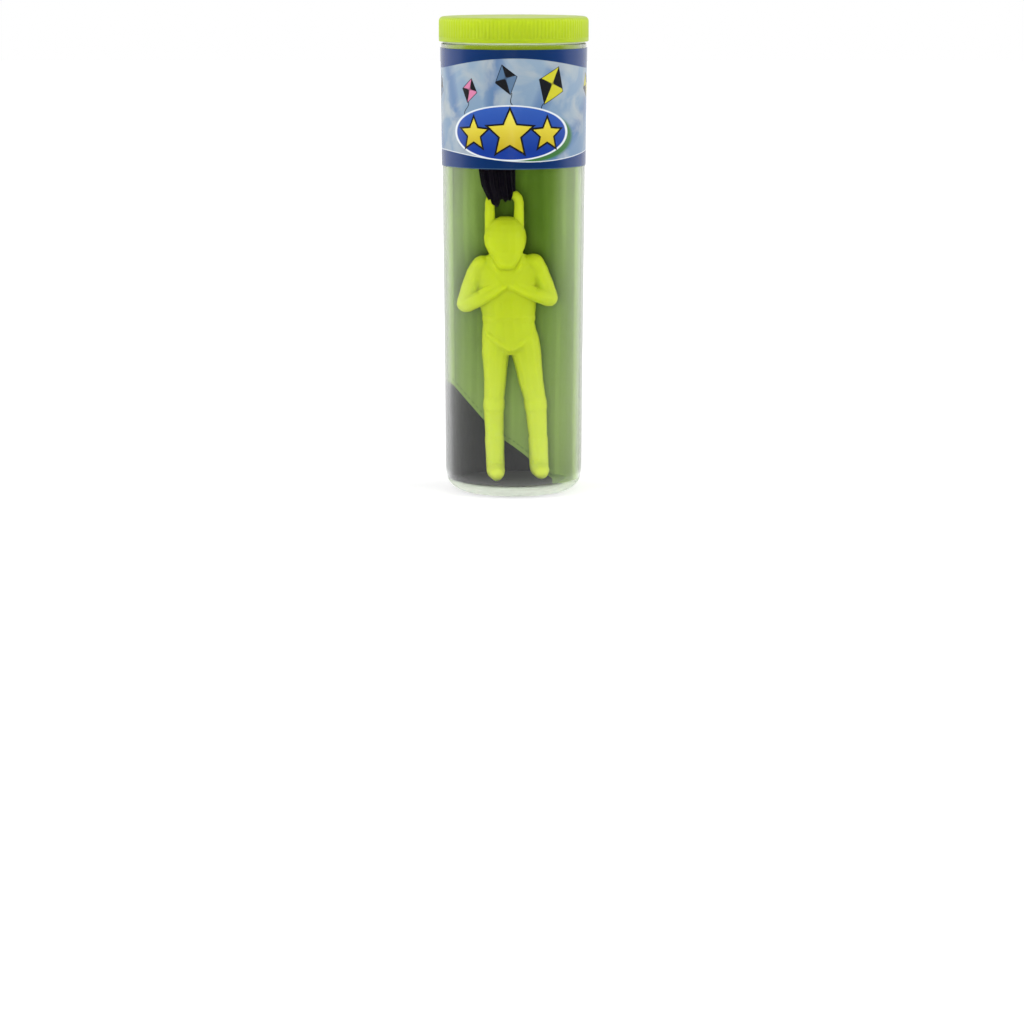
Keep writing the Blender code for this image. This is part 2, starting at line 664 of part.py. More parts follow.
def net_lobe(across):
    """How far the net's hem hangs at a place across it: a deep lobe, and a lesser one beside it."""
    wave = 0.5 + 0.5 * cos(2.0 * pi * (across - NET_LOBE_SHARE) / NET_LOBE_PITCH_SHARE)
    return wave * (1.0 - NET_FAR_LOBE_LOSS_SHARE * max(0.0, across))


def make_net(material, parent):
    """Gathered net end: pleated rings that straddle the yoke's bar and hang in two lobes."""
    rings = []
    lobe_end = NET_LEVEL_SHARES[2][0]
    for share, side_share, forward_share, width_share, depth_share in NET_LEVEL_SHARES:
        height = NET_BOTTOM + share * (NET_TOP - NET_BOTTOM)
        middle_side = YOKE_SIDE + side_share * NET_HALF_WIDTH
        middle_back = -FIGURE_FORWARD - forward_share * NET_HALF_DEPTH
        ring = []
        for step in range(NET_STEPS):
            turn = 2.0 * pi * step / NET_STEPS
            pleat = 1.0 + NET_PLEAT_SHARE * cos(NET_PLEAT_COUNT * turn)
            across = width_share * pleat * cos(turn)
            back = depth_share * pleat * sin(turn)
            hang = NET_LOBE_DROP * net_lobe(cos(turn)) * (1.0 - min(1.0, share / lobe_end))
            x = middle_side + across * NET_HALF_WIDTH
            y = middle_back + back * NET_HALF_DEPTH
            ring.append(Vector((x, y, height - hang)))
        rings.append(ring)
    inside = Vector((YOKE_SIDE, -FIGURE_FORWARD, YOKE_BAR_HEIGHT))
    rings.insert(0, [inside])
    net = keep("net_skirt", skin(rings), material, parent)
    room = limb(yoke_sections(NET_GAP), Vector((0.0, 1.0, 0.0)), LIMB_STEPS)
    combine(net, tool("net_yoke_room", room, material), "DIFFERENCE")
    return net


def slide_frame(name):
    """Empty on the tube's axis that carries what slides along it."""
    frame = bpy.data.objects.new(name, None)
    bpy.context.scene.collection.objects.link(frame)
    return frame


def main():
    clear_scene()
    clear = plastic("clear_plastic", (0.90, 0.93, 0.92), 0.05, 0.25)
    lime = plastic("lime_plastic", (0.48, 0.68, 0.02), 0.35)
    print_blue = plastic("printed_label", (0.03, 0.09, 0.30), 0.40)
    vinyl = plastic("soft_vinyl", (0.52, 0.70, 0.04), 0.45)
    green_cloth = plastic("green_cloth", (0.20, 0.36, 0.07), 0.85)
    black_cloth = plastic("black_cloth", (0.03, 0.03, 0.03), 0.85)
    black_net = plastic("black_net", (0.01, 0.01, 0.01), 0.90)
    cap_slide = slide_frame("cap_slide")
    toy_slide = slide_frame("toy_slide")
    make_tube(clear)
    make_label(print_blue)
    make_cap(lime, cap_slide)
    make_figure(vinyl, toy_slide)
    make_pack("canopy_green_panel", green_cloth, toy_slide, -1.0)
    make_pack("canopy_black_panel", black_cloth, toy_slide, 1.0)
    make_net(black_net, toy_slide)


main()
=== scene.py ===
from math import cos, pi, radians, sin

import bmesh
import bpy
import numpy as np
from mathutils import Matrix, Vector


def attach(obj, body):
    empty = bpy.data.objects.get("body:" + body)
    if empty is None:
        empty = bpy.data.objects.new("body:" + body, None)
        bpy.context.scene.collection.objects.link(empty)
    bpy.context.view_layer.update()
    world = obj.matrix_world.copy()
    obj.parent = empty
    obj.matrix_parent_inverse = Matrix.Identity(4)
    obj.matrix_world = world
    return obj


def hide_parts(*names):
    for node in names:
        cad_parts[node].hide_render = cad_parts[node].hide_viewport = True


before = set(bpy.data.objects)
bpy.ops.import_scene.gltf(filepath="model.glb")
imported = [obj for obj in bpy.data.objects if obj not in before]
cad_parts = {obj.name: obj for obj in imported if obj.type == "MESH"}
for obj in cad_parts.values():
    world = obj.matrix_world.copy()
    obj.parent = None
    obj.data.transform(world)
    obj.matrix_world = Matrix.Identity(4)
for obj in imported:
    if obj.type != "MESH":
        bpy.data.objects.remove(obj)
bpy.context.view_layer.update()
MM = 0.001

# Clear tube: one injection moulding, tapered so that it leaves its mould. It has a rounded foot,
# a recess under its floor, a shoulder, and a neck with a small bead that holds the cap.
TUBE_TOP = 127.0 * MM
TUBE_SHOULDER = 121.5 * MM
TUBE_TOP_RADIUS = 19.6 * MM
TUBE_BASE_RADIUS = 18.55 * MM
TUBE_FOOT_ROUND = 5.4 * MM
TUBE_FOOT_RING = 12.8 * MM
TUBE_RECESS = 0.8 * MM
TUBE_FLOOR = 2.5 * MM
TUBE_FLOOR_ROUND = 1.4 * MM
TUBE_NECK_RADIUS = 19.1 * MM
TUBE_BEAD_RADIUS = 19.25 * MM
TUBE_BEAD_HEIGHT = 124.4 * MM
TUBE_BEAD_HALF = 0.45 * MM
TUBE_BORE_TOP = 18.55 * MM
TUBE_BORE_BASE = 17.67 * MM
TURN_STEPS = 256
CLEAR_TINT = (0.97, 0.985, 0.98, 1.0)
CLEAR_FOOT_TINT = (0.93, 0.985, 0.87, 1.0)
CLEAR_NECK_TINT = (0.88, 0.96, 0.74, 1.0)
CLEAR_PASSED_LIGHT = (0.97, 0.98, 0.975, 1.0)
FOOT_FROST = 0.6
NECK_FROST = 0.3
NECK_MILK = 0.45
SLANT_FROST = 0.22
# Where these start and end: heights for foot and neck; for the bore, its radius less the taper, its
# height, and how aslant it is seen
FOOT_ENDS = (3.3 * MM, 3.9 * MM)
NECK_ENDS = (121.2 * MM, 121.8 * MM)
BORE_TAPER = 0.0076
BORE_RADIUS_ENDS = (17.8 * MM, 18.0 * MM)
BORE_HEIGHT_ENDS = (3.0 * MM, 6.0 * MM)
SLANT_ENDS = (0.19, 0.26)


def rounded(corners, steps=6):
    """Outline of straight runs and arcs: each corner is (radius, height, fillet radius)."""
    corners = np.array(corners, float)
    line = [corners[0, :2]]
    for before, here, after in zip(corners, corners[1:], corners[2:]):
        middle, fillet = here[:2], here[2]
        back, on = before[:2] - middle, after[:2] - middle
        back_length, on_length = np.linalg.norm(back), np.linalg.norm(on)
        back, on = back / back_length, on / on_length
        half = 0.5 * np.arccos(np.clip(back @ on, -1.0, 1.0))
        reach = fillet / np.tan(half)
        centre = middle + (back + on) / np.linalg.norm(back + on) * fillet / np.sin(half)
        first, last = middle + back * reach - centre, middle + on * reach - centre
        start = np.arctan2(first[1], first[0])
        sweep = (np.arctan2(last[1], last[0]) - start + pi) % (2.0 * pi) - pi
        turns = start + sweep * np.linspace(0.0, 1.0, steps + 1)
        arc = centre + fillet * np.stack([np.cos(turns), np.sin(turns)], axis=1)
        hold = 0.25 * fillet
        line += [middle + back * min(reach + hold, back_length), *arc, middle + on * (reach + hold)]
    return np.array(line + [corners[-1, :2]])


def placed(name, data):
    """A new object at the origin, in the scene."""
    piece = bpy.data.objects.new(name, data)
    bpy.context.scene.collection.objects.link(piece)
    return piece


def surface(name, points, material, wrap=False, uv=None, close=True):
    """Mesh over a grid of points, rows by columns; wrap joins the last column to the first.

    uv holds one pair for each grid corner, with one more column than the points where they wrap."""
    rows, columns = points.shape[:2]
    index = np.arange(rows * columns).reshape(rows, columns)
    if wrap:
        index = np.concatenate([index, index[:, :1]], axis=1)
    corners = [(slice(None, -1), slice(None, -1)), (slice(None, -1), slice(1, None))]
    corners += [(slice(1, None), slice(1, None)), (slice(1, None), slice(None, -1))]
    faces = np.stack([index[place] for place in corners], axis=-1).reshape(-1, 4)
    mesh = bpy.data.meshes.new(name)
    mesh.from_pydata(points.reshape(-1, 3).tolist(), [], faces.tolist())
    if uv is not None:
        flat = np.stack([uv[place] for place in corners], axis=2).reshape(-1)
        mesh.uv_layers.new(name="UVMap").data.foreach_set("uv", flat.astype(np.float32))
    bm = bmesh.new()
    bm.from_mesh(mesh)
    bmesh.ops.remove_doubles(bm, verts=bm.verts, dist=1e-7)
    if close:
        bmesh.ops.recalc_face_normals(bm, faces=bm.faces)
    bm.to_mesh(mesh)
    bm.free()
    mesh.shade_smooth()
    mesh.materials.append(material)
    return placed(name, mesh)


def around(radius, turns, height):
    """Points at a radius, at angles round Z and at a height: one row for each radius and height."""
    return np.stack([radius * np.cos(turns), radius * np.sin(turns), height + 0.0 * turns], axis=2)


def turned(name, outline, material):
    """Surface of revolution: the outline's radius swept round Z, its height kept."""
    turns = np.linspace(0.0, 2.0 * pi, TURN_STEPS, endpoint=False)
    return surface(name, around(outline[:, :1], turns, outline[:, 1:]), material, wrap=True)


def add(tree, kind, inputs=None, **settings):
    """A shader node with its settings; an input is a number, a colour or another node's output."""
    made = tree.nodes.new(kind)
    for key, value in settings.items():
        setattr(made, key, value)
    for place, value in (inputs or {}).items():
        if isinstance(value, bpy.types.NodeSocket):
            tree.links.new(value, made.inputs[place])
        else:
            made.inputs[place].default_value = value
    return made


def maths(tree, operation, first, second=0.0, third=0.0, clamp=False):
    """The output of one Math node."""
    made = add(tree, "ShaderNodeMath", {0: first, 1: second, 2: third}, operation=operation)
    made.use_clamp = clamp
    return made.outputs[0]


def length_of(tree, x, y):
    """The output of nodes that take the root of two squares added."""
    squares = maths(tree, "ADD", maths(tree, "POWER", x, 2.0), maths(tree, "POWER", y, 2.0))
    return maths(tree, "SQRT", squares)


def ramp(tree, value, start=0.0, end=1.0, low=0.0, high=1.0, soft=False):
    """The output of a node that takes start to low and end to high; soft eases it at both ends."""
    made = add(tree, "ShaderNodeMapRange", {0: value, 1: start, 2: end, 3: low, 4: high})
    if soft:
        made.interpolation_type = "SMOOTHSTEP"
    return made.outputs[0]


def noise(tree, place, scale, detail, distortion=0.0):
    """The output of one Noise Texture node, about 0 to 1."""
    settings = {"Vector": place, "Scale": scale, "Detail": detail, "Distortion": distortion}
    return add(tree, "ShaderNodeTexNoise", settings).outputs[0]


def bump(tree, height, strength, depth, under=None):
    """The output of one Bump node, laid over another bump where one is given."""
    made = add(tree, "ShaderNodeBump", {"Strength": strength, "Distance": depth, "Height": height})
    if under is not None:
        tree.links.new(under, made.inputs["Normal"])
    return made.outputs[0]


def blend(tree, share, under, over):
    """The over colour laid on the under colour by a share from 0 to 1."""
    return add(tree, "ShaderNodeMix", {0: share, 6: under, 7: over}, data_type="RGBA").outputs[2]


def either(tree, share, first, second):
    """The first shader where the share is 0, the second where it is 1."""
    return add(tree, "ShaderNodeMixShader", {0: share, 1: first, 2: second}).outputs[0]


def feed(node, **sockets):
    """Link outputs to a node's sockets, which are named with _ for each space."""
    for key, output in sockets.items():
        node.id_data.links.new(output, node.inputs[key.replace("_", " ")])


def finish_of(name, **sockets):
    """A material with one Principled shader; sockets are set by name, with _ for each space."""
    material = bpy.data.materials.new(name)
    material.use_nodes = True
    shader = material.node_tree.nodes["Principled BSDF"]
    for key, value in sockets.items():
        shader.inputs[key.replace("_", " ")].default_value = value
    return material, material.node_tree, shader


def clear_plastic():
    """Clear moulded plastic: it bends sight, while light passes straight on to what is inside. The foot
    and the milky neck are frosted, and the bore is slightly rough where it is seen very aslant."""
    material, tree, shader = finish_of(
        "clear_plastic", Base_Color=CLEAR_TINT, Transmission_Weight=1.0, IOR=1.5
    )
    place = add(tree, "ShaderNodeTexCoord").outputs["Object"]
    flow = add(tree, "ShaderNodeMapping", {"Vector": place, "Scale": (90.0, 90.0, 14.0)}).outputs[0]
    waves = noise(tree, flow, 1.0, 2.0)
    x, y, z = add(tree, "ShaderNodeSeparateXYZ", {0: place}).outputs
    foot = ramp(tree, z, *FOOT_ENDS, 1.0, 0.0)
    neck = ramp(tree, z, *NECK_ENDS)
    radius = maths(tree, "MULTIPLY_ADD", z, -BORE_TAPER, length_of(tree, x, y))
    bore = ramp(tree, radius, *BORE_RADIUS_ENDS, 1.0, 0.0)
    bore = maths(tree, "MULTIPLY", bore, ramp(tree, z, *BORE_HEIGHT_ENDS))
    facing = add(tree, "ShaderNodeLayerWeight", {"Blend": 0.5}).outputs["Facing"]
    slant = maths(tree, "MULTIPLY", bore, ramp(tree, facing, *SLANT_ENDS, 0.0, SLANT_FROST))
    frost = maths(tree, "MULTIPLY", foot, FOOT_FROST)
    frost = maths(tree, "MAXIMUM", frost, maths(tree, "MULTIPLY", neck, NECK_FROST))
    frost = maths(tree, "MAXIMUM", frost, slant)
    feed(
        shader,
        Base_Color=blend(tree, neck, blend(tree, foot, CLEAR_TINT, CLEAR_FOOT_TINT), CLEAR_NECK_TINT),
        Roughness=maths(tree, "ADD", ramp(tree, waves, low=0.02, high=0.05), frost),
        Transmission_Weight=maths(tree, "MULTIPLY_ADD", neck, -NECK_MILK, 1.0),
        Normal=bump(tree, waves, 0.1, 0.2 * MM),
    )
    path = add(tree, "ShaderNodeLightPath").outputs
    passed = add(tree, "ShaderNodeBsdfTransparent", {"Color": CLEAR_PASSED_LIGHT}).outputs[0]
    lit = either(tree, path["Is Diffuse Ray"], shader.outputs[0], passed)
    both = either(tree, path["Is Shadow Ray"], lit, passed)
    feed(tree.nodes["Material Output"], Surface=both)
    return material


foot_radius = TUBE_BASE_RADIUS + (TUBE_TOP_RADIUS - TUBE_BASE_RADIUS) * TUBE_FOOT_ROUND / TUBE_SHOULDER
tube_outline = rounded([
    (0.0, TUBE_RECESS, 0.0),
    (TUBE_FOOT_RING - TUBE_RECESS, TUBE_RECESS, 0.4 * MM),
    (TUBE_FOOT_RING, 0.0, 0.2 * MM),
    (foot_radius, 0.0, TUBE_FOOT_ROUND),
    (TUBE_TOP_RADIUS, TUBE_SHOULDER, 0.3 * MM),
    (TUBE_NECK_RADIUS, TUBE_SHOULDER, 0.2 * MM),
    (TUBE_NECK_RADIUS, TUBE_BEAD_HEIGHT - TUBE_BEAD_HALF, 0.3 * MM),
    (TUBE_BEAD_RADIUS, TUBE_BEAD_HEIGHT, 0.3 * MM),
    (TUBE_NECK_RADIUS, TUBE_BEAD_HEIGHT + TUBE_BEAD_HALF, 0.3 * MM),
    (TUBE_NECK_RADIUS, TUBE_TOP, 0.3 * MM),
    (TUBE_BORE_TOP, TUBE_TOP, 0.25 * MM),
    (TUBE_BORE_BASE, TUBE_FLOOR, TUBE_FLOOR_ROUND),
    (0.0, TUBE_FLOOR, 0.0),
], steps=10)
clear_tube = turned("clear_tube", tube_outline, clear_plastic())
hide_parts("tube")
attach(clear_tube, "tube_body")

# Cap: yellow-green moulded plastic. Its plug grips the tube's bore and shows through the clear neck.
# Fine upright ribs run round its side, from a smooth lower band up into the rounded top edge.
CAP_LOW = 122.0 * MM
CAP_CEILING = 127.3 * MM
CAP_TOP = 128.6 * MM
CAP_BORE = 19.45 * MM
CAP_PLUG = 18.25 * MM
CAP_PLUG_WALL = 1.0 * MM
CAP_PLUG_LOW = 118.0 * MM
CAP_RADIUS = 20.15 * MM
CAP_BAND_TOP = 123.0 * MM
CAP_TOP_ROUND = 1.3 * MM
RIB_COUNT = 120
RIB_COLUMNS = 8
RIB_DEPTH = 0.14 * MM
RIB_RISE = 0.25 * MM


def shade_of(red, green, blue):
    """A colour as it is seen on a screen, 0 to 255, as the linear colour that shaders take."""
    seen = np.array([red, green, blue]) / 255.0
    linear = np.where(seen <= 0.04045, seen / 12.92, ((seen + 0.055) / 1.055) ** 2.4)
    return (*linear.tolist(), 1.0)


CAP_LIME = shade_of(194, 219, 28)
CAP_DARKER = shade_of(188, 213, 22)
# Painted shade, laid on towards the cap's lower edge
CAP_PAINTED_SHADE = shade_of(162, 186, 18)


def lime_plastic():
    """Dyed plastic with a fine spark-eroded grain and faint flow lines; towards its lower edge it is darker,
    which is painted shade.
    """
    material, tree, shader = finish_of(
        "lime_plastic",
        Roughness=0.38,
        Specular_IOR_Level=0.5,
        Subsurface_Weight=0.5,
        Subsurface_Radius=(1.0, 1.0, 0.3),
        Subsurface_Scale=1.6 * MM,
    )
    place = add(tree, "ShaderNodeTexCoord").outputs["Object"]
    height = add(tree, "ShaderNodeSeparateXYZ", {0: place}).outputs[2]
    # Painted shade: the colour darkens from the cap's top down to its lower edge.
    low = ramp(tree, height, CAP_LOW, CAP_TOP, 0.7, 0.0)
    colour = blend(tree, noise(tree, place, 110.0, 3.0), CAP_DARKER, CAP_LIME)
    grain = noise(tree, place, 4200.0, 2.0)
    feed(
        shader,
        Base_Color=blend(tree, low, colour, CAP_PAINTED_SHADE),
        Roughness=ramp(tree, grain, low=0.33, high=0.45),
        Normal=bump(tree, grain, 0.25, 0.02 * MM),
    )
    return material


def eased(share):
    """A smooth step: three times the square less twice the cube, of a share held from 0 to 1."""
    share = np.clip(share, 0.0, 1.0)
    return share * share * (3.0 - 2.0 * share)


def ribbed(outline, columns):
    """Turned outline whose side is cut by narrow grooves: the radius loses the rib's depth times
    a raised cosine of the angle, where the outline runs between the band and the rounded edge."""
    turns = np.linspace(0.0, 2.0 * pi, columns, endpoint=False)
    radius, height = outline[:, :1], outline[:, 1:]
    rise = eased((height - CAP_BAND_TOP) / RIB_RISE)
    fade = np.sqrt(np.clip((CAP_TOP - height) / CAP_TOP_ROUND, 0.0, 1.0))
    outside = radius > 0.5 * (CAP_BORE + CAP_RADIUS) - 0.9 * CAP_TOP_ROUND * (height > CAP_CEILING)
    groove = (0.5 + 0.5 * np.cos(RIB_COUNT * turns)) ** 2
    return around(radius - RIB_DEPTH * outside * rise * fade * groove, turns, height)


cap_outline = rounded([
    (0.0, CAP_CEILING, 0.0),
    (CAP_PLUG - CAP_PLUG_WALL, CAP_CEILING, 0.4 * MM),
    (CAP_PLUG - CAP_PLUG_WALL, CAP_PLUG_LOW, 0.3 * MM),
    (CAP_PLUG, CAP_PLUG_LOW, 0.3 * MM),
    (CAP_PLUG, CAP_CEILING, 0.3 * MM),
    (CAP_BORE, CAP_CEILING, 0.3 * MM),
    (CAP_BORE, CAP_LOW, 0.15 * MM),
    (CAP_RADIUS, CAP_LOW, 0.2 * MM),
    (CAP_RADIUS, CAP_TOP, CAP_TOP_ROUND),
    (0.0, CAP_TOP, 0.0),
], steps=8)
cap_side = np.linspace(CAP_BAND_TOP - 0.1 * MM, CAP_BAND_TOP + 0.4 * MM, 6)
cap_side = np.stack([np.full(6, CAP_RADIUS), cap_side], axis=1)
side_start = np.flatnonzero(cap_outline[:, 1] > CAP_LOW + 1.0 * MM)
side_start = side_start[cap_outline[side_start, 0] > CAP_RADIUS - 0.01 * MM][0]
cap_outline = np.insert(cap_outline, side_start, cap_side, axis=0)
ribbed_cap = surface(
    "ribbed_cap", ribbed(cap_outline, RIB_COUNT * RIB_COLUMNS), lime_plastic(), wrap=True
)
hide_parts("cap")
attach(ribbed_cap, "cap_body")

# Label: printed film wrapped round the upper part of the tube, its two ends meeting at the back.
# The print is a plain sky with kites, toothed discs and stars on a blue oval. It is worked out from
# two coordinates in millimetres: across, from the front's middle, and up, from its lower edge.
LABEL_LOW = 88.9 * MM
LABEL_HIGH = 120.3 * MM
LABEL_LIFT = 0.05 * MM
LABEL_THICKNESS = 0.15 * MM
LABEL_SEAM = 0.4 * MM
LABEL_COLUMNS = 360
LABEL_ROWS = 16
SKY_LOW = shade_of(108, 140, 174)
SKY_HIGH = shade_of(146, 168, 188)
SKY_RAY = shade_of(76, 112, 162)
SKY_CLOUD = shade_of(184, 191, 190)
PRINT_BLACK = shade_of(24, 26, 30)
KITE_YELLOW = shade_of(205, 200, 48)
KITE_BLUE = shade_of(86, 116, 148)
KITE_PINK = shade_of(214, 128, 166)
OVAL_SHADOW = shade_of(64, 118, 62)
OVAL_RIM = shade_of(226, 232, 236)
OVAL_LOW = shade_of(20, 58, 150)
OVAL_HIGH = shade_of(52, 92, 178)
GOLD_LOW = shade_of(196, 172, 32)
GOLD_HIGH = shade_of(230, 216, 74)
DISC_GOLD = shade_of(206, 190, 52)
DISC_STAR = shade_of(232, 222, 96)
SILVER_EDGE = shade_of(150, 162, 176)
SILVER = shade_of(236, 238, 240)
BAND_BLUE = shade_of(12, 56, 122)
BAND_DEEP = shade_of(2, 42, 92)
BAND_EDGE = shade_of(222, 229, 234)
FILM_EDGE = shade_of(62, 88, 120)
RAY_PLACE = (-9.0, -16.0)
RAY_COUNT = 17.0
OVAL_PLACE = (-1.0, 9.6)
OVAL_SIZE = (16.2, 7.0)
OVAL_SHADOW_PLACE = (1.4, 8.6)
OVAL_SHADOW_SIZE = (16.4, 7.0)
# Edges of the two plain bands: middle height and swing of a long wave
BAND_TOP = (27.6, 1.55)
BAND_LOW = (3.15, -1.25)
WAVE_TURN = 2.0 * pi / 61.0
# Place across and up, tilt in degrees, half width, half height, colour
KITES = [
    (10.5, 22.0, -24.0, 3.9, 5.2, KITE_YELLOW),
    (-2.0, 23.6, 16.0, 2.9, 3.9, KITE_BLUE),
    (-12.5, 20.6, -12.0, 2.3, 3.1, KITE_PINK),
    (27.0, 21.5, 14.0, 2.6, 3.5, KITE_YELLOW),
    (-27.5, 21.0, -18.0, 2.6, 3.5, KITE_BLUE),
]
# Place across and up, and radius
GOLD_STARS = [(-1.0, 9.4, 6.1), (-11.2, 9.2, 4.1), (9.2, 9.2, 4.1)]
SILVER_STARS = [(31.0, 8.0, 1.7), (35.5, 7.0, 2.1), (40.5, 6.6, 1.7)]
SILVER_STARS += [(-across, up, radius) for across, up, radius in SILVER_STARS]
DISCS = [(37.0, 17.0, 4.3), (-37.0, 17.0, 4.3)]
DISC_STAR_RADIUS = 2.9


def tube_radius(height):
    """The tube's outside, which tapers evenly from the shoulder down."""
    return TUBE_BASE_RADIUS + (TUBE_TOP_RADIUS - TUBE_BASE_RADIUS) * height / TUBE_SHOULDER


def printed_film():
    """Satin printed film: each motif is the distance to its outline, painted where it is negative."""
    material, tree, shader = finish_of("printed_film", Roughness=0.2, Specular_IOR_Level=0.6)
    uv = add(tree, "ShaderNodeUVMap", uv_map="UVMap").outputs[0]
    across, up, _ = add(tree, "ShaderNodeSeparateXYZ", {0: uv}).outputs

    def calc(*terms, clamp=False):
        """The output of one Math node, from its operation and up to three terms."""
        return maths(tree, *terms, clamp=clamp)

    def inside(distance, grow=0.0, soft=0.12):
        """1 where a distance is less than grow, 0 where it is more, with a soft edge."""
        return calc("MULTIPLY_ADD", distance, -1.0 / soft, 0.5 + grow / soft, clamp=True)

    def moved(centre_across, centre_up, tilt=0.0):
        """The two coordinates from a motif's own middle, turned by its tilt."""
        x = calc("SUBTRACT", across, centre_across)
        y = calc("SUBTRACT", up, centre_up)
        c, s = cos(radians(tilt)), sin(radians(tilt))
        right = calc("MULTIPLY_ADD", x, c, calc("MULTIPLY", y, s))
        above = calc("MULTIPLY_ADD", y, c, calc("MULTIPLY", x, -s))
        return right, above

    def paint(under, over, mask):
        """The over colour laid on the under colour where the mask says."""
        return blend(tree, mask, under, over)

    def oval(x, y, wide, high):
        """Distance to an oval, near enough: the scaled radius less one, times its smaller half."""
        radius = length_of(tree, calc("MULTIPLY", x, 1.0 / wide), calc("MULTIPLY", y, 1.0 / high))
        return calc("MULTIPLY_ADD", radius, min(wide, high), -min(wide, high))

    def diamond(x, y, wide, high):
        """Distance to a diamond: the two scaled sizes added, less one, times its smaller half."""
        total = calc("MULTIPLY", calc("ABSOLUTE", x), 1.0 / wide)
        total = calc("MULTIPLY_ADD", calc("ABSOLUTE", y), 1.0 / high, total)
        return calc("MULTIPLY_ADD", total, min(wide, high), -min(wide, high))

    def star(x, y, radius):
        """Distance to a five-pointed star: the angle is folded into one half point, whose edge is a
        straight line."""
        fold = calc("PINGPONG", calc("ARCTAN2", x, y), pi / 5.0)
        far = length_of(tree, x, y)
        inner = 0.46 * radius
        slope_x, slope_y = inner * sin(pi / 5.0), radius - inner * cos(pi / 5.0)
        size = (slope_x**2 + slope_y**2) ** 0.5
        side = calc("MULTIPLY", far, calc("COSINE", fold))
        side = calc("MULTIPLY_ADD", side, slope_x / size, -radius * slope_x / size)
        return calc("MULTIPLY_ADD", calc("MULTIPLY", far, calc("SINE", fold)), slope_y / size, side)

    art = paint(SKY_LOW, SKY_HIGH, calc("MULTIPLY", up, 1.0 / 31.0))
    ray = calc("SINE", calc("MULTIPLY", calc("ARCTAN2", *moved(*RAY_PLACE)), RAY_COUNT))
    art = paint(art, SKY_RAY, calc("MULTIPLY_ADD", ray, 0.9, -0.25, clamp=True))
    cloud = ramp(tree, noise(tree, uv, 0.11, 4.0, 0.6), 0.46, 0.66)
    art = paint(art, SKY_CLOUD, calc("MULTIPLY", cloud, 0.7))

    for kite_across, kite_up, tilt, wide, high, colour in KITES:
        x, y = moved(kite_across, kite_up, tilt)
        sway = calc("MULTIPLY", calc("SINE", calc("MULTIPLY", y, 1.3)), 0.45)
        tail = calc("SUBTRACT", calc("ABSOLUTE", calc("SUBTRACT", x, sway)), 0.12)
        low = calc("SUBTRACT", calc("ABSOLUTE", calc("ADD", y, 1.7 * high)), 0.75 * high)
        art = paint(art, PRINT_BLACK, inside(calc("MAXIMUM", tail, low)))
        body = diamond(x, y, wide, high)
        corner = calc("MULTIPLY", x, calc("SUBTRACT", y, 0.1 * high))
        art = paint(art, PRINT_BLACK, inside(body, 0.22))
        art = paint(art, colour, calc("MULTIPLY", inside(body), inside(corner, soft=0.2)))

    shadow = oval(*moved(*OVAL_SHADOW_PLACE), *OVAL_SHADOW_SIZE)
    art = paint(art, OVAL_SHADOW, inside(shadow, soft=0.6))
    x, y = moved(*OVAL_PLACE)
    plate = oval(x, y, *OVAL_SIZE)
    art = paint(art, OVAL_RIM, inside(plate, 0.35))
    blue = paint(OVAL_LOW, OVAL_HIGH, calc("MULTIPLY_ADD", y, 0.09, 0.4, clamp=True))
    art = paint(art, blue, inside(plate))
    for star_across, star_up, radius in GOLD_STARS:
        x, y = moved(star_across, star_up)
        body = star(x, y, radius)
        art = paint(art, PRINT_BLACK, inside(body, 0.5))
        gold = paint(GOLD_LOW, GOLD_HIGH, calc("MULTIPLY_ADD", y, 0.13, 0.5, clamp=True))
        art = paint(art, gold, inside(body))

    for disc_across, disc_up, radius in DISCS:
        x, y = moved(disc_across, disc_up)
        teeth = calc("COSINE", calc("MULTIPLY", calc("ARCTAN2", x, y), 22.0))
        rim = calc("MULTIPLY_ADD", teeth, -0.16, calc("SUBTRACT", length_of(tree, x, y), radius))
        art = paint(art, DISC_GOLD, inside(rim))
        body = star(x, y, DISC_STAR_RADIUS)
        art = paint(art, PRINT_BLACK, inside(body, 0.25))
        art = paint(art, DISC_STAR, inside(body))
    for star_across, star_up, radius in SILVER_STARS:
        body = star(*moved(star_across, star_up), radius)
        art = paint(art, SILVER_EDGE, inside(body, 0.3))
        art = paint(art, SILVER, inside(body))

    wave_top = calc("COSINE", calc("MULTIPLY", across, WAVE_TURN))
    wave_low = calc("COSINE", calc("MULTIPLY_ADD", across, WAVE_TURN, -0.5))
    above_low = calc("SUBTRACT", up, calc("MULTIPLY_ADD", wave_low, BAND_LOW[1], BAND_LOW[0]))
    below_top = calc("SUBTRACT", calc("MULTIPLY_ADD", wave_top, BAND_TOP[1], BAND_TOP[0]), up)
    ink = paint(BAND_BLUE, BAND_DEEP, calc("MULTIPLY_ADD", wave_top, 0.45, 0.5, clamp=True))
    art = paint(art, BAND_EDGE, inside(above_low, 0.22))
    art = paint(art, ink, inside(above_low))
    art = paint(art, ink, inside(below_top))
    art = paint(art, FILM_EDGE, inside(up, 0.25))
    grain = noise(tree, add(tree, "ShaderNodeTexCoord").outputs["Object"], 260.0, 3.0)
    feed(
        shader,
        Base_Color=art,
        Roughness=ramp(tree, grain, low=0.14, high=0.26),
        Normal=bump(tree, grain, 0.12, 0.1 * MM),
    )
    return material


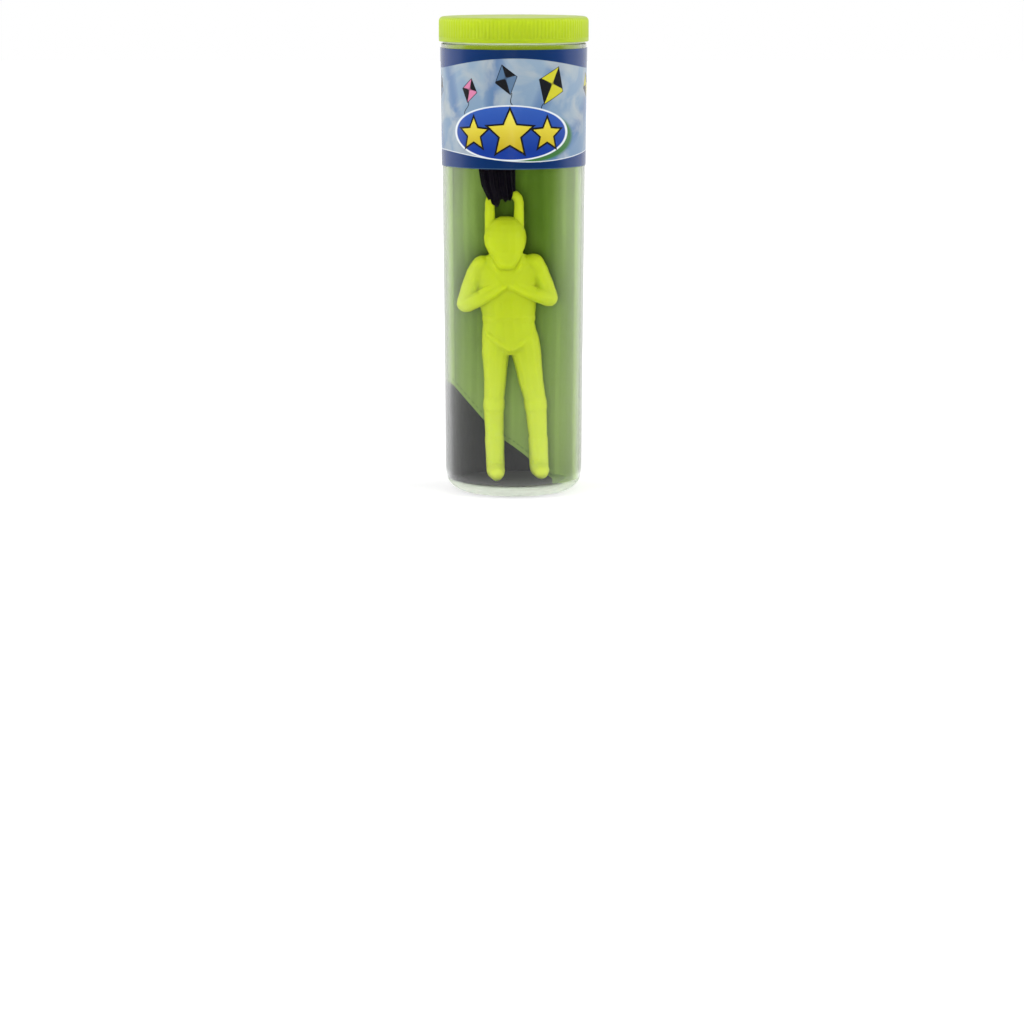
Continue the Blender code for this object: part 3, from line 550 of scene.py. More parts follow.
def wrapped_band():
    """Closed band: a rectangle of film thickness and height carried round the tube's taper."""
    half_gap = 0.5 * LABEL_SEAM / TUBE_TOP_RADIUS
    turns = np.linspace(half_gap - pi, pi - half_gap, LABEL_COLUMNS + 1)[:, None]
    rise = np.linspace(LABEL_LOW, LABEL_HIGH, LABEL_ROWS + 1)
    inner, outer = tube_radius(rise) + LABEL_LIFT, tube_radius(rise) + LABEL_LIFT + LABEL_THICKNESS
    radius = np.concatenate([outer, inner[::-1], outer[:1]])
    height = np.concatenate([rise, rise[::-1], rise[:1]])
    points = np.stack([radius * np.sin(turns), -radius * np.cos(turns), height + 0.0 * turns], axis=2)
    across = turns * TUBE_TOP_RADIUS / MM + 0.0 * height
    uv = np.stack([across, (height - LABEL_LOW) / MM + 0.0 * turns], axis=2)
    ends = points[[0, -1]].mean(axis=1, keepdims=True)
    points = np.concatenate([ends[:1] + 0.0 * points[:1], points, ends[1:] + 0.0 * points[:1]])
    uv = np.concatenate([uv[:1], uv, uv[-1:]])
    return points, uv


label_points, label_uv = wrapped_band()
wrap_label = surface("wrap_label", label_points, printed_film(), uv=label_uv)
wrap_label.data.set_sharp_from_angle(angle=radians(40.0))
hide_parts("label")
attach(wrap_label, "tube_body")

# Figure: one soft vinyl moulding of a trooper with a helmet, crossed straps, belt and boots. The body
# comes from the frame's own solid, evened out to a smooth skin, and its raised and sunken lines are
# then pressed into the skin along paths given as shares of its height.
FIGURE_HEIGHT = 71.5 * MM
FIGURE_SOLE = 4.05 * MM
FIGURE_FORWARD = 5.0 * MM
FIGURE_VOXEL = 0.24 * MM
# Raised (+) or sunken (-) lines: depth, half width, path of (side share, height share)
FIGURE_LINES = [
    (0.05 * MM, 0.30 * MM, [
        (-0.110, 0.905), (-0.093, 0.880), (-0.068, 0.869), (-0.029, 0.864), (0.010, 0.869), (0.034, 0.880),
        (0.050, 0.905),
    ]),
    (0.05 * MM, 0.22 * MM, [(-0.044, 0.971), (-0.027, 0.968), (-0.010, 0.971)]),
    (-0.22 * MM, 0.26 * MM, [
        (-0.106, 0.884), (-0.088, 0.853), (-0.069, 0.818), (-0.053, 0.799), (-0.025, 0.797), (0.003, 0.799),
        (0.018, 0.818), (0.030, 0.853), (0.040, 0.884),
    ]),
    (0.05 * MM, 0.22 * MM, [
        (-0.118, 0.828), (-0.082, 0.784), (-0.050, 0.752), (-0.027, 0.744), (-0.004, 0.752), (0.030, 0.784),
        (0.062, 0.828),
    ]),
    (0.05 * MM, 0.22 * MM, [
        (-0.101, 0.842), (-0.068, 0.800), (-0.040, 0.770), (-0.027, 0.764), (-0.014, 0.770), (0.016, 0.800),
        (0.046, 0.842),
    ]),
    (-0.30 * MM, 0.60 * MM, [(-0.137, 0.750), (-0.139, 0.736), (-0.134, 0.720)]),
    (-0.30 * MM, 0.60 * MM, [(0.090, 0.760), (0.093, 0.746), (0.089, 0.730)]),
    (0.06 * MM, 0.24 * MM, [(-0.184, 0.760), (-0.164, 0.754), (-0.146, 0.757)]),
    (0.06 * MM, 0.24 * MM, [(0.098, 0.760), (0.116, 0.757), (0.140, 0.766)]),
    (0.05 * MM, 0.28 * MM, [
        (-0.114, 0.672), (-0.072, 0.682), (-0.026, 0.676), (0.020, 0.682), (0.060, 0.674),
    ]),
    (0.05 * MM, 0.40 * MM, [
        (-0.128, 0.618), (-0.070, 0.623), (-0.019, 0.624), (0.034, 0.623), (0.088, 0.618),
    ]),
    (-0.16 * MM, 0.50 * MM, [
        (-0.126, 0.601), (-0.070, 0.605), (-0.019, 0.606), (0.034, 0.605), (0.086, 0.601),
    ]),
    (0.05 * MM, 0.26 * MM, [(-0.126, 0.560), (-0.090, 0.524), (-0.050, 0.494), (-0.026, 0.482)]),
    (0.05 * MM, 0.26 * MM, [(0.090, 0.560), (0.052, 0.524), (0.012, 0.494), (-0.012, 0.482)]),
    (0.06 * MM, 0.30 * MM, [(-0.114, 0.300), (-0.074, 0.305), (-0.034, 0.300)]),
    (0.06 * MM, 0.30 * MM, [(0.036, 0.298), (0.081, 0.303), (0.126, 0.298)]),
    (-0.05 * MM, 0.26 * MM, [(-0.112, 0.262), (-0.075, 0.252), (-0.036, 0.262)]),
    (-0.05 * MM, 0.26 * MM, [(0.042, 0.262), (0.085, 0.252), (0.126, 0.262)]),
    (0.07 * MM, 0.30 * MM, [(-0.112, 0.160), (-0.073, 0.155), (-0.034, 0.160)]),
    (0.07 * MM, 0.30 * MM, [(0.054, 0.160), (0.092, 0.155), (0.130, 0.160)]),
    (-0.12 * MM, 0.40 * MM, [(-0.108, 0.074), (-0.070, 0.062), (-0.034, 0.074)]),
    (-0.12 * MM, 0.40 * MM, [(0.058, 0.076), (0.096, 0.064), (0.134, 0.076)]),
    (-0.05 * MM, 0.20 * MM, [(-0.062, 0.757), (-0.050, 0.739)]),
    (-0.05 * MM, 0.20 * MM, [(-0.048, 0.762), (-0.036, 0.744)]),
    (-0.05 * MM, 0.20 * MM, [(0.018, 0.757), (0.006, 0.739)]),
    (-0.05 * MM, 0.20 * MM, [(0.004, 0.762), (-0.008, 0.744)]),
]
# Parts that stand proud above an edge: height, edge as (side share, height share), upper end of the
# part and how gently it fades there
FIGURE_STEPS = [
    (0.06 * MM, [
        (-0.122, 0.918), (-0.093, 0.880), (-0.068, 0.869), (-0.029, 0.864), (0.010, 0.869), (0.034, 0.880),
        (0.063, 0.918),
    ], 1.02, 0.004),
    (0.35 * MM, [
        (-0.113, 0.935), (-0.104, 0.886), (-0.086, 0.855), (-0.067, 0.822), (-0.051, 0.805), (-0.025, 0.803),
        (0.001, 0.805), (0.016, 0.822), (0.028, 0.855), (0.037, 0.886), (0.046, 0.935),
    ], 0.930, 0.075),
    (0.15 * MM, [(-0.140, 0.612), (-0.019, 0.615), (0.100, 0.612)], 0.700, 0.060),
    (0.05 * MM, [(-0.130, 0.158), (0.010, 0.156), (0.150, 0.158)], 0.300, 0.004),
]
# Middle lines of the two forearms, as (side share, height share)
FIGURE_FOREARMS = [
    (-0.177, 0.670), (-0.127, 0.691), (-0.076, 0.721), (-0.043, 0.745),
    (0.000, 0.747), (0.031, 0.729), (0.083, 0.705), (0.132, 0.691),
]
FIGURE_MELT_PASSES = 500
# Soft swellings, the two shoulders and the two fists: height, side share, height share, half sizes
FIGURE_SWELLS = [
    (0.50 * MM, -0.160, 0.838, 2.0 * MM, 2.0 * MM),
    (0.95 * MM, 0.104, 0.842, 2.3 * MM, 2.0 * MM),
    (0.12 * MM, -0.054, 0.746, 1.5 * MM, 1.1 * MM),
    (0.12 * MM, 0.010, 0.748, 1.5 * MM, 1.1 * MM),
]
FIGURE_PARTING = 0.05 * MM
VINYL_DARKER = shade_of(198, 214, 34)
VINYL_LIGHTER = shade_of(208, 224, 46)
# Painted shade for the hollows, and painted light for the legs
VINYL_PAINTED_SHADE = shade_of(178, 180, 16)
VINYL_PAINTED_LIGHT = shade_of(224, 238, 96)


def soft_vinyl():
    """Dyed soft vinyl: light runs a little way into it, and its skin has a faint orange peel. Its hollows
    are darkened with painted shade, and its legs are made paler low down with painted light."""
    material, tree, shader = finish_of(
        "soft_vinyl",
        Roughness=0.5,
        Specular_IOR_Level=0.25,
        Subsurface_Weight=0.85,
        Subsurface_Radius=(1.0, 1.0, 0.2),
        Subsurface_Scale=2.6 * MM,
    )
    place = add(tree, "ShaderNodeTexCoord").outputs["Object"]
    height = add(tree, "ShaderNodeSeparateXYZ", {0: place}).outputs[2]
    pointed = add(tree, "ShaderNodeNewGeometry").outputs["Pointiness"]
    colour = blend(tree, noise(tree, place, 160.0, 3.0), VINYL_DARKER, VINYL_LIGHTER)
    # Painted shade: where Pointiness is low, in the hollows, the colour is darkened.
    colour = blend(tree, ramp(tree, pointed, 0.36, 0.5, 0.75, 0.0), colour, VINYL_PAINTED_SHADE)
    peel = noise(tree, place, 1500.0, 2.0)
    feed(
        shader,
        # Painted light: the legs are paler below 38 mm, most at 10 mm and lower.
        Base_Color=blend(tree, ramp(tree, height, 10.0 * MM, 38.0 * MM, 0.5, 0.0), colour, VINYL_PAINTED_LIGHT),
        Roughness=ramp(tree, peel, low=0.42, high=0.56),
        Normal=bump(tree, peel, 0.2, 0.05 * MM),
    )
    return material


def merged_copy(node, name):
    """A copy of a node's solid with its loose triangles merged."""
    bm = bmesh.new()
    bm.from_mesh(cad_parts[node].data)
    bmesh.ops.remove_doubles(bm, verts=bm.verts, dist=1e-6)
    mesh = bpy.data.meshes.new(name)
    bm.to_mesh(mesh)
    bm.free()
    return placed(name, mesh)


def apply_all(piece):
    """The piece's mesh as its modifiers leave it."""
    graph = bpy.context.evaluated_depsgraph_get()
    made = bpy.data.meshes.new_from_object(piece.evaluated_get(graph))
    piece.modifiers.clear()
    piece.data = made


def even_skin(piece, voxel, passes):
    """One closed skin of even quads round a solid, relaxed a few times."""
    remesh = piece.modifiers.new("skin", "REMESH")
    remesh.mode = "VOXEL"
    remesh.voxel_size = voxel
    relax = piece.modifiers.new("relax", "SMOOTH")
    relax.factor = 0.5
    relax.iterations = passes
    apply_all(piece)


def line_distance(points, path):
    """Shortest distance from each point to a bent line, both in the front's plane."""
    best = np.full(len(points), np.inf)
    for start, end in zip(path[:-1], path[1:]):
        along = end - start
        share = np.clip(((points - start) @ along) / (along @ along), 0.0, 1.0)
        best = np.minimum(best, np.linalg.norm(points - start - share[:, None] * along, axis=1))
    return best


def places_of(piece, key="co"):
    """A mesh's points, or their normals, as rows of three."""
    flat = np.empty(3 * len(piece.data.vertices))
    piece.data.vertices.foreach_get(key, flat)
    return flat.reshape(-1, 3)


def move_to(piece, places):
    """Put a mesh's points at new places."""
    piece.data.vertices.foreach_set("co", places.ravel())
    piece.data.update()


def skin_of(piece):
    """Places and normals of the skin's points, and their shares to the side and up the figure."""
    places = places_of(piece)
    side, rise = places[:, 0] / FIGURE_HEIGHT, (places[:, 2] - FIGURE_SOLE) / FIGURE_HEIGHT
    return places, places_of(piece, "normal"), side, rise


def melt_chest(piece):
    """The forearms run softly into the chest: above their middle lines, and less on the helmet's
    front, the skin is moved towards a much relaxed copy of itself."""
    sharp, normals, side, rise = skin_of(piece)
    relax = piece.modifiers.new("melt", "SMOOTH")
    relax.factor = 0.5
    relax.iterations = FIGURE_MELT_PASSES
    apply_all(piece)
    soft = places_of(piece)
    lines = np.array(FIGURE_FOREARMS)
    chest = np.clip((rise - np.interp(side, lines[:, 0], lines[:, 1])) / 0.02 + 0.7, 0.0, 1.0)
    chest *= np.clip((0.820 - rise) / 0.03, 0.0, 1.0)
    chest *= np.clip((0.125 - np.abs(side + 0.024)) / 0.04, 0.0, 1.0)
    helmet = np.clip((rise - 0.85) / 0.04, 0.0, 1.0) * np.clip((0.985 - rise) / 0.03, 0.0, 1.0)
    helmet *= np.clip((0.065 - np.abs(side + 0.029)) / 0.02, 0.0, 1.0)
    share = np.maximum(chest, 0.35 * helmet) * np.clip(-3.0 * normals[:, 1], 0.0, 1.0)
    move_to(piece, sharp + share[:, None] * (soft - sharp))


def press_details(piece):
    """Move the skin along its normals: by depth times a bell curve of the distance to each line, by a
    smooth step above each edge, by a bell over each swelling, and by a thin parting line at the sides."""
    places, normals, side, rise = skin_of(piece)
    front = np.clip(-2.0 * normals[:, 1] - 0.1, 0.0, 1.0)
    depth = np.zeros(len(places))
    for height, width, path in FIGURE_LINES:
        route = np.array(path) * FIGURE_HEIGHT + np.array([0.0, FIGURE_SOLE])
        depth += height * np.exp(-((line_distance(places[:, [0, 2]], route) / width) ** 2)) * front
    for height, edge, end, fade in FIGURE_STEPS:
        edge = np.array(edge)
        above = np.clip((rise - np.interp(side, edge[:, 0], edge[:, 1])) / 0.004, 0.0, 1.0)
        depth += height * above * eased((end - rise) / fade)
    for height, middle_side, middle_rise, half_width, half_height in FIGURE_SWELLS:
        across = (side - middle_side) * FIGURE_HEIGHT / half_width
        up = (rise - middle_rise) * FIGURE_HEIGHT / half_height
        depth += height * np.exp(-(across**2) - up**2)
    depth += FIGURE_PARTING * np.exp(-((normals[:, 1] / 0.16) ** 2))
    move_to(piece, places + depth[:, None] * normals)


soft_trooper = merged_copy("figure", "soft_trooper")
even_skin(soft_trooper, FIGURE_VOXEL, 6)
melt_chest(soft_trooper)
press_details(soft_trooper)
soft_trooper.data.shade_smooth()
soft_trooper.data.materials.append(soft_vinyl())
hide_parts("figure")
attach(soft_trooper, "toy_body")

# Folded canopy: thin woven nylon in a green and a black panel sewn together. Rolled up, it lines the
# back of the tube in upright folds, closes to a full roll above the figure, and its black corner is
# tucked under the figure's feet.
PACK_LOW = 2.85 * MM
PACK_HIGH = 117.4 * MM
PACK_GAP = 0.1 * MM
PACK_LINING = 3.65 * MM
PACK_FOLD = 0.45 * MM
PACK_GROOVE = 0.35 * MM
PACK_TURN_IN = 1.3 * MM
PACK_PAD = 3.75 * MM
SEAM_HEIGHT = 11.0 * MM
SEAM_SLOPE = radians(45.5)
SEAM_TURN = radians(-16.0)
SEAM_TILT = Matrix.Rotation(SEAM_TURN, 3, "X") @ Matrix.Rotation(SEAM_SLOPE, 3, "Y")
SEAM_NORMAL = SEAM_TILT @ Vector((0.0, 0.0, 1.0))
SEAM_RUN = (0.7, 0.0, -0.7)
SEAM_BEND = 2.7 * MM
SEAM_BEND_FROM = -6.0 * MM
SEAM_BEND_TO = 5.0 * MM
STITCH_INSET = 1.0 * MM
STITCH_LENGTH = 1.7 * MM
# Distance between threads in the cloth's own coordinates, which are millimetres
THREAD_PITCH = 0.32
PAD_ROOM = 0.3 * MM
PAD_RUMPLE = 0.08 * MM
# Radius over which the inner layer passes into the outer one
LAYER_INNER = 15.2 * MM
LAYER_OUTER = 16.8 * MM
# Painted daylight at the sides: middle line and reach across, and reach up; and reach up of the painted
# shade round the figure
DAYLIGHT_MIDDLE = 2.0 * MM
DAYLIGHT_ACROSS = (5.0 * MM, 13.0 * MM)
DAYLIGHT_UP = (42.0 * MM, 72.0 * MM)
FIGURE_SHADE_UP = (20.0 * MM, 60.0 * MM)
# Grid on which the figure's points are counted, as seen from the front
GRID_CELL = 0.5 * MM
GRID_COLUMNS = 80
GRID_ROWS = 260
# Height share of the tube's inside, half angle of the roll in degrees, share of its front that is filled
PACK_LEVELS = [
    (0.00, 98, 0.42), (0.18, 98, 0.45), (0.30, 98, 0.46), (0.54, 98, 0.40), (0.66, 98, 0.43),
    (0.76, 100, 0.48), (0.81, 104, 0.58), (0.85, 112, 0.70), (0.885, 126, 0.82), (0.897, 146, 0.93),
    (0.909, 166, 1.00), (1.00, 168, 1.00),
]


def nylon(name, dark, light, low, painted_low_ends, stitching, deep, middle_painted_shade=None, side_painted_light=None):
    """Thin plain weave: two crossing thread waves from the cloth's own coordinates in millimetres, faint
    folded creases, and a soft sheen. Near the floor its colour is painted lighter on the green, as painted
    light, and darker on the black, as painted shade. The inner layer has painted shade in its middle, where
    many folds lie behind it, and round the figure, and painted daylight at its sides."""
    material, tree, shader = finish_of(
        name, Roughness=0.72, Specular_IOR_Level=0.2, Sheen_Weight=0.08, Sheen_Roughness=0.5
    )
    uv = add(tree, "ShaderNodeUVMap", uv_map="UVMap").outputs[0]
    along, up, _ = add(tree, "ShaderNodeSeparateXYZ", {0: uv}).outputs
    turn = 2.0 * pi / THREAD_PITCH
    waves = [maths(tree, "SINE", maths(tree, "MULTIPLY", way, turn)) for way in (along, up)]
    weave = maths(tree, "MULTIPLY", *waves)
    stretch = add(tree, "ShaderNodeMapping", {"Vector": uv, "Scale": (0.55, 0.035, 1.0)}).outputs[0]
    tone = maths(tree, "MULTIPLY_ADD", noise(tree, uv, 0.12, 4.0, 0.8), 0.5, -0.1)
    tone = maths(tree, "MULTIPLY_ADD", noise(tree, stretch, 1.0, 5.0), 0.6, tone)
    tone = maths(tree, "MULTIPLY_ADD", weave, 0.08, tone, clamp=True)
    place = add(tree, "ShaderNodeTexCoord").outputs["Object"]
    x, y, z = add(tree, "ShaderNodeSeparateXYZ", {0: place}).outputs
    # Near the floor the colour passes to the low colour: painted light on the green panel, painted shade on
    # the black one.
    colour = blend(tree, ramp(tree, z, *painted_low_ends, 0.9, 0.0), blend(tree, tone, dark, light), low)
    # Painted shade in the inner layer's middle, and painted daylight at its sides.
    if middle_painted_shade:
        inner = ramp(tree, length_of(tree, x, y), LAYER_INNER, LAYER_OUTER, 1.0, 0.0)
        high = ramp(tree, z, *DAYLIGHT_UP)
        aside = maths(tree, "ABSOLUTE", maths(tree, "SUBTRACT", x, DAYLIGHT_MIDDLE))
        aside = ramp(tree, aside, *DAYLIGHT_ACROSS, soft=True)
        middle = maths(tree, "MULTIPLY", maths(tree, "SUBTRACT", 1.0, aside), inner)
        middle = maths(tree, "MULTIPLY", middle, maths(tree, "MULTIPLY_ADD", high, 0.75, 0.1))
        colour = blend(tree, maths(tree, "MULTIPLY", aside, high), colour, side_painted_light)
        colour = blend(tree, middle, colour, middle_painted_shade)
    # Painted shade round the figure: the cloth passes to the deep colour where the figure stands in front of
    # it.
    figure_shade = add(tree, "ShaderNodeAttribute", attribute_name="near_figure").outputs["Fac"]
    figure_shade = maths(tree, "MULTIPLY", figure_shade, ramp(tree, z, *FIGURE_SHADE_UP, 0.4, 1.0))
    colour = blend(tree, figure_shade, colour, deep)
    seam = ramp(tree, x, SEAM_BEND_FROM, SEAM_BEND_TO, SEAM_HEIGHT, SEAM_HEIGHT + SEAM_BEND, soft=True)
    seam = add(tree, "ShaderNodeCombineXYZ", {2: seam}).outputs[0]
    off = add(tree, "ShaderNodeVectorMath", {0: place, 1: seam}, operation="SUBTRACT").outputs[0]
    across, run = [
        add(tree, "ShaderNodeVectorMath", {0: off, 1: way}, operation="DOT_PRODUCT").outputs["Value"]
        for way in (SEAM_NORMAL, SEAM_RUN)
    ]
    across = maths(tree, "ABSOLUTE", across)
    row = maths(tree, "ABSOLUTE", maths(tree, "SUBTRACT", across, STITCH_INSET))
    row = ramp(tree, row, 0.08 * MM, 0.2 * MM, 1.0, 0.0)
    dash = maths(tree, "SINE", maths(tree, "MULTIPLY", run, 2.0 * pi / STITCH_LENGTH))
    stitch = maths(tree, "MULTIPLY", row, maths(tree, "MULTIPLY_ADD", dash, 3.0, 1.2, clamp=True))
    welt = ramp(tree, across, 0.2 * MM, 1.8 * MM, 1.0, 0.0)
    threads = bump(tree, weave, 0.35, 0.03 * MM)
    creases = bump(tree, noise(tree, uv, 0.35, 5.0, 1.2), 0.35, 0.35 * MM, threads)
    feed(
        shader,
        Base_Color=blend(tree, maths(tree, "MULTIPLY", stitch, 0.6), colour, stitching),
        Normal=bump(tree, maths(tree, "MULTIPLY_ADD", stitch, -0.4, welt), 0.5, 0.2 * MM, creases),
    )
    return material


def bore_radius(height):
    """The inside of the tube, rounded in at its floor, less the cloth's gap."""
    share = (height - TUBE_FLOOR) / (TUBE_TOP - TUBE_FLOOR)
    wall = TUBE_BORE_BASE + (TUBE_BORE_TOP - TUBE_BORE_BASE) * share - PACK_GAP
    corner = TUBE_FLOOR_ROUND - PACK_GAP
    drop = np.clip(TUBE_FLOOR + TUBE_FLOOR_ROUND - height, 0.0, corner)
    return wall - corner + np.sqrt(corner**2 - drop**2)


def roll_ring(height):
    """Closed loop of cloth at each height: along the tube's wall, round a folded edge, back along the
    inner layer with its upright folds, and round the other edge."""
    height = height[:, None]
    share = (height[:, 0] - TUBE_FLOOR) / (TUBE_TOP - TUBE_FLOOR)
    levels = np.array(PACK_LEVELS)
    reach = np.radians(np.interp(share, levels[:, 0], levels[:, 1]))[:, None]
    fill = np.interp(share, levels[:, 0], levels[:, 2])[:, None]
    side = np.linspace(-1.0, 1.0, 181)
    turn = side * reach
    fade = 1.0 - side**6
    drift = 0.7 * np.sin(height / (19.0 * MM)) + 0.4 * np.sin(height / (8.3 * MM) + 2.0)
    wave = np.cos(11.0 * turn + drift) * (0.7 + 0.3 * np.sin(2.3 * turn + height / (27.0 * MM)))
    wave += 0.3 * np.cos(23.0 * turn - 1.7 * drift + 1.0)
    radius = bore_radius(height)
    wall = radius - PACK_GROOVE * fade * np.clip(wave, 0.0, 1.0) ** 3
    outer = np.stack([wall * np.sin(turn), wall * np.cos(turn)], axis=2)
    lined = radius - PACK_LINING * (1.0 - 0.5 * side**2)
    fold = PACK_FOLD * fade * (1.0 - fill) * wave
    inner_x = (1.0 - fill) * lined * np.sin(turn) + fill * lined * np.sin(reach) * side
    inner_y = (1.0 - fill) * lined * np.cos(turn) + fill * lined * np.cos(reach) - fold
    inner = np.stack([inner_x, inner_y], axis=2)
    turns = np.linspace(0.0, pi, 12)[1:-1][:, None]
    edges = []
    for start, end in ((outer[:, -1:], inner[:, -1:]), (inner[:, :1], outer[:, :1])):
        centre, arm = 0.5 * (start + end), 0.5 * (start - end)
        out = np.stack([arm[..., 1], -arm[..., 0]], axis=2)
        edges.append(centre + arm * np.cos(turns) + out * np.sin(turns))
    loop = np.concatenate([outer, edges[0], inner[:, ::-1], edges[1]], axis=1)
    return np.concatenate([loop, np.broadcast_to(height[:, :, None], loop.shape[:2] + (1,))], axis=2)


def cloth_uv(points, wrap=True):
    """Millimetres along each row and up each column of a grid of points."""
    ring = np.concatenate([points, points[:, :1]], axis=1) if wrap else points
    step = np.linalg.norm(np.diff(ring, axis=1), axis=2)
    along = np.concatenate([np.zeros((len(ring), 1)), np.cumsum(step, axis=1)], axis=1)
    along = along - 0.5 * along[:, -1:]
    rise = np.linalg.norm(np.diff(ring, axis=0), axis=2)
    up = np.concatenate([np.zeros((1, ring.shape[1])), np.cumsum(rise, axis=0)])
    return np.stack([along / MM, up / MM], axis=2)


def roll_points():
    """The roll's rings from the floor up, then turned in over its top edge."""
    rise = np.concatenate([
        np.linspace(PACK_LOW, PACK_LOW + TUBE_FLOOR_ROUND, 9)[:-1],
        np.linspace(PACK_LOW + TUBE_FLOOR_ROUND, PACK_HIGH - PACK_TURN_IN, 110),
    ])
    rings = roll_ring(rise)
    top = rings[-1:]
    turns = np.linspace(0.0, 0.5 * pi, 7)[1:, None, None]
    shrink = 1.0 - PACK_TURN_IN * (1.0 - np.cos(turns)) / TUBE_BORE_TOP
    lift = PACK_TURN_IN * np.sin(turns)
    lip = np.concatenate([top[..., :2] * shrink, top[..., 2:] + lift], axis=2)
    inside = lip[-1:] * np.array([0.95, 0.95, 1.0])
    down = np.concatenate([inside - np.array([0.0, 0.0, 2.0 * MM]), inside - np.array([0.0, 0.0, 7.0 * MM])])
    return np.concatenate([rings, lip, down])


def pad_points():
    """The tucked corner under the feet: a soft disc with a rounded rim, gently rumpled."""
    turns = np.linspace(0.0, 2.0 * pi, 160, endpoint=False)
    side = np.linspace(PACK_LOW, PACK_PAD - 0.2 * MM, 4)
    rim = bore_radius(side) - PAD_ROOM
    inwards = np.array([0.15, 0.5, 1.5, 4.0, 8.0, 12.0]) * MM
    radius = np.concatenate([[0.0], rim, rim[-1] - inwards, [0.0]])[:, None]
    height = np.concatenate([[PACK_LOW], side, [PACK_PAD - 0.06 * MM], np.full(6, PACK_PAD)])[:, None]
    rumple = PAD_RUMPLE * np.abs(np.sin(5.0 * turns + radius / (2.0 * MM)))
    rumple = rumple * (height > PACK_PAD - 0.1 * MM) * (radius > 0.0)
    return around(radius, turns, height - rumple)


def lifted(piece, way):
    """Move a mesh up (way 1) or down (way -1) by the seam's bend: a smooth step of the side."""
    places = places_of(piece)
    share = (places[:, 0] - SEAM_BEND_FROM) / (SEAM_BEND_TO - SEAM_BEND_FROM)
    places[:, 2] += way * SEAM_BEND * eased(share)
    move_to(piece, places)


def mark_painted_figure_shade(piece):
    """Share of the figure round each point of the cloth, seen from the front, which the cloth's material
    uses as painted shade: the figure's points are counted on a grid of half millimetres, and the filled
    cells spread by three box filters."""
    skin = places_of(soft_trooper)
    edge = 0.5 * GRID_COLUMNS * GRID_CELL
    spans = ((-edge, edge), (0.0, GRID_ROWS * GRID_CELL))
    field = np.histogram2d(skin[:, 0], skin[:, 2], bins=(GRID_COLUMNS, GRID_ROWS), range=spans)[0] > 0.0
    for _ in range(3):
        for axis in (0, 1):
            field = sum(np.roll(field, step, axis) for step in range(-4, 5)) / 9.0
    places = places_of(piece)
    column = np.clip((places[:, 0] + edge) / GRID_CELL, 0, GRID_COLUMNS - 1).astype(int)
    row = np.clip(places[:, 2] / GRID_CELL, 0, GRID_ROWS - 1).astype(int)
    radius = np.hypot(places[:, 0], places[:, 1])
    inner = np.clip((LAYER_OUTER - radius) / (LAYER_OUTER - LAYER_INNER), 0.0, 1.0)
    share = piece.data.attributes.new("near_figure", "FLOAT", "POINT")
    share.data.foreach_set("value", (field[column, row] * inner).astype(np.float32))


def cut_panel(name, parts, material, keep_above):
    """The unbent roll and pad cut on the seam's flat plane; one side of it is kept and bent again."""
    bm = bmesh.new()
    for part in parts:
        bm.from_mesh(part.data)
    bmesh.ops.bisect_plane(
        bm,
        geom=bm.verts[:] + bm.edges[:] + bm.faces[:],
        plane_co=(0.0, 0.0, SEAM_HEIGHT),
        plane_no=SEAM_NORMAL,
        clear_inner=keep_above,
        clear_outer=not keep_above,
    )
    mesh = bpy.data.meshes.new(name)
    bm.to_mesh(mesh)
    bm.free()
    mesh.shade_smooth()
    mesh.materials.append(material)
    panel = placed(name, mesh)
    lifted(panel, 1)
    mark_painted_figure_shade(panel)
    return panel


green_nylon = nylon(
    "green_nylon",
    shade_of(136, 168, 66),
    shade_of(160, 191, 90),
    # Painted light: the green is lighter low down.
    low=shade_of(168, 196, 104),
    painted_low_ends=(22.0 * MM, 46.0 * MM),
    # deep is the painted shade round the figure
    stitching=shade_of(92, 124, 50),
    deep=shade_of(58, 76, 8),
    # Painted shade in the middle, painted daylight at the sides
    middle_painted_shade=shade_of(90, 126, 30),
    side_painted_light=shade_of(166, 198, 100),
)
black_nylon = nylon(
    "black_nylon",
    shade_of(24, 24, 25),
    shade_of(38, 38, 39),
    # Painted shade: the black pad's top is darker.
    low=shade_of(7, 7, 8),
    painted_low_ends=(4.4 * MM, 5.6 * MM),
    stitching=shade_of(58, 58, 60),
    deep=shade_of(24, 24, 22),
)
roll_grid, pad_grid = roll_points(), pad_points()
roll = surface("roll_guide", roll_grid, green_nylon, wrap=True, uv=cloth_uv(roll_grid))
pad = surface("pad_guide", pad_grid, green_nylon, wrap=True, uv=cloth_uv(pad_grid))
lifted(roll, -1)
lifted(pad, -1)
green_panel = cut_panel("green_panel", (roll, pad), green_nylon, True)
black_panel = cut_panel("black_panel", (roll, pad), black_nylon, False)
for guide in (roll, pad):
    bpy.data.objects.remove(guide, do_unlink=True)
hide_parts("canopy_green_panel")
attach(green_panel, "toy_body")
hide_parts("canopy_black_panel")
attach(black_panel, "toy_body")

# Inner folds of the roll's top: the same green nylon, laid to and fro across the roll's open end,
# where it is seen when the cap is off.
FOLD_RUNS = 9
FOLD_SPREAD = 13.2 * MM
FOLD_LOW = 112.3 * MM
FOLD_HIGH = 116.8 * MM


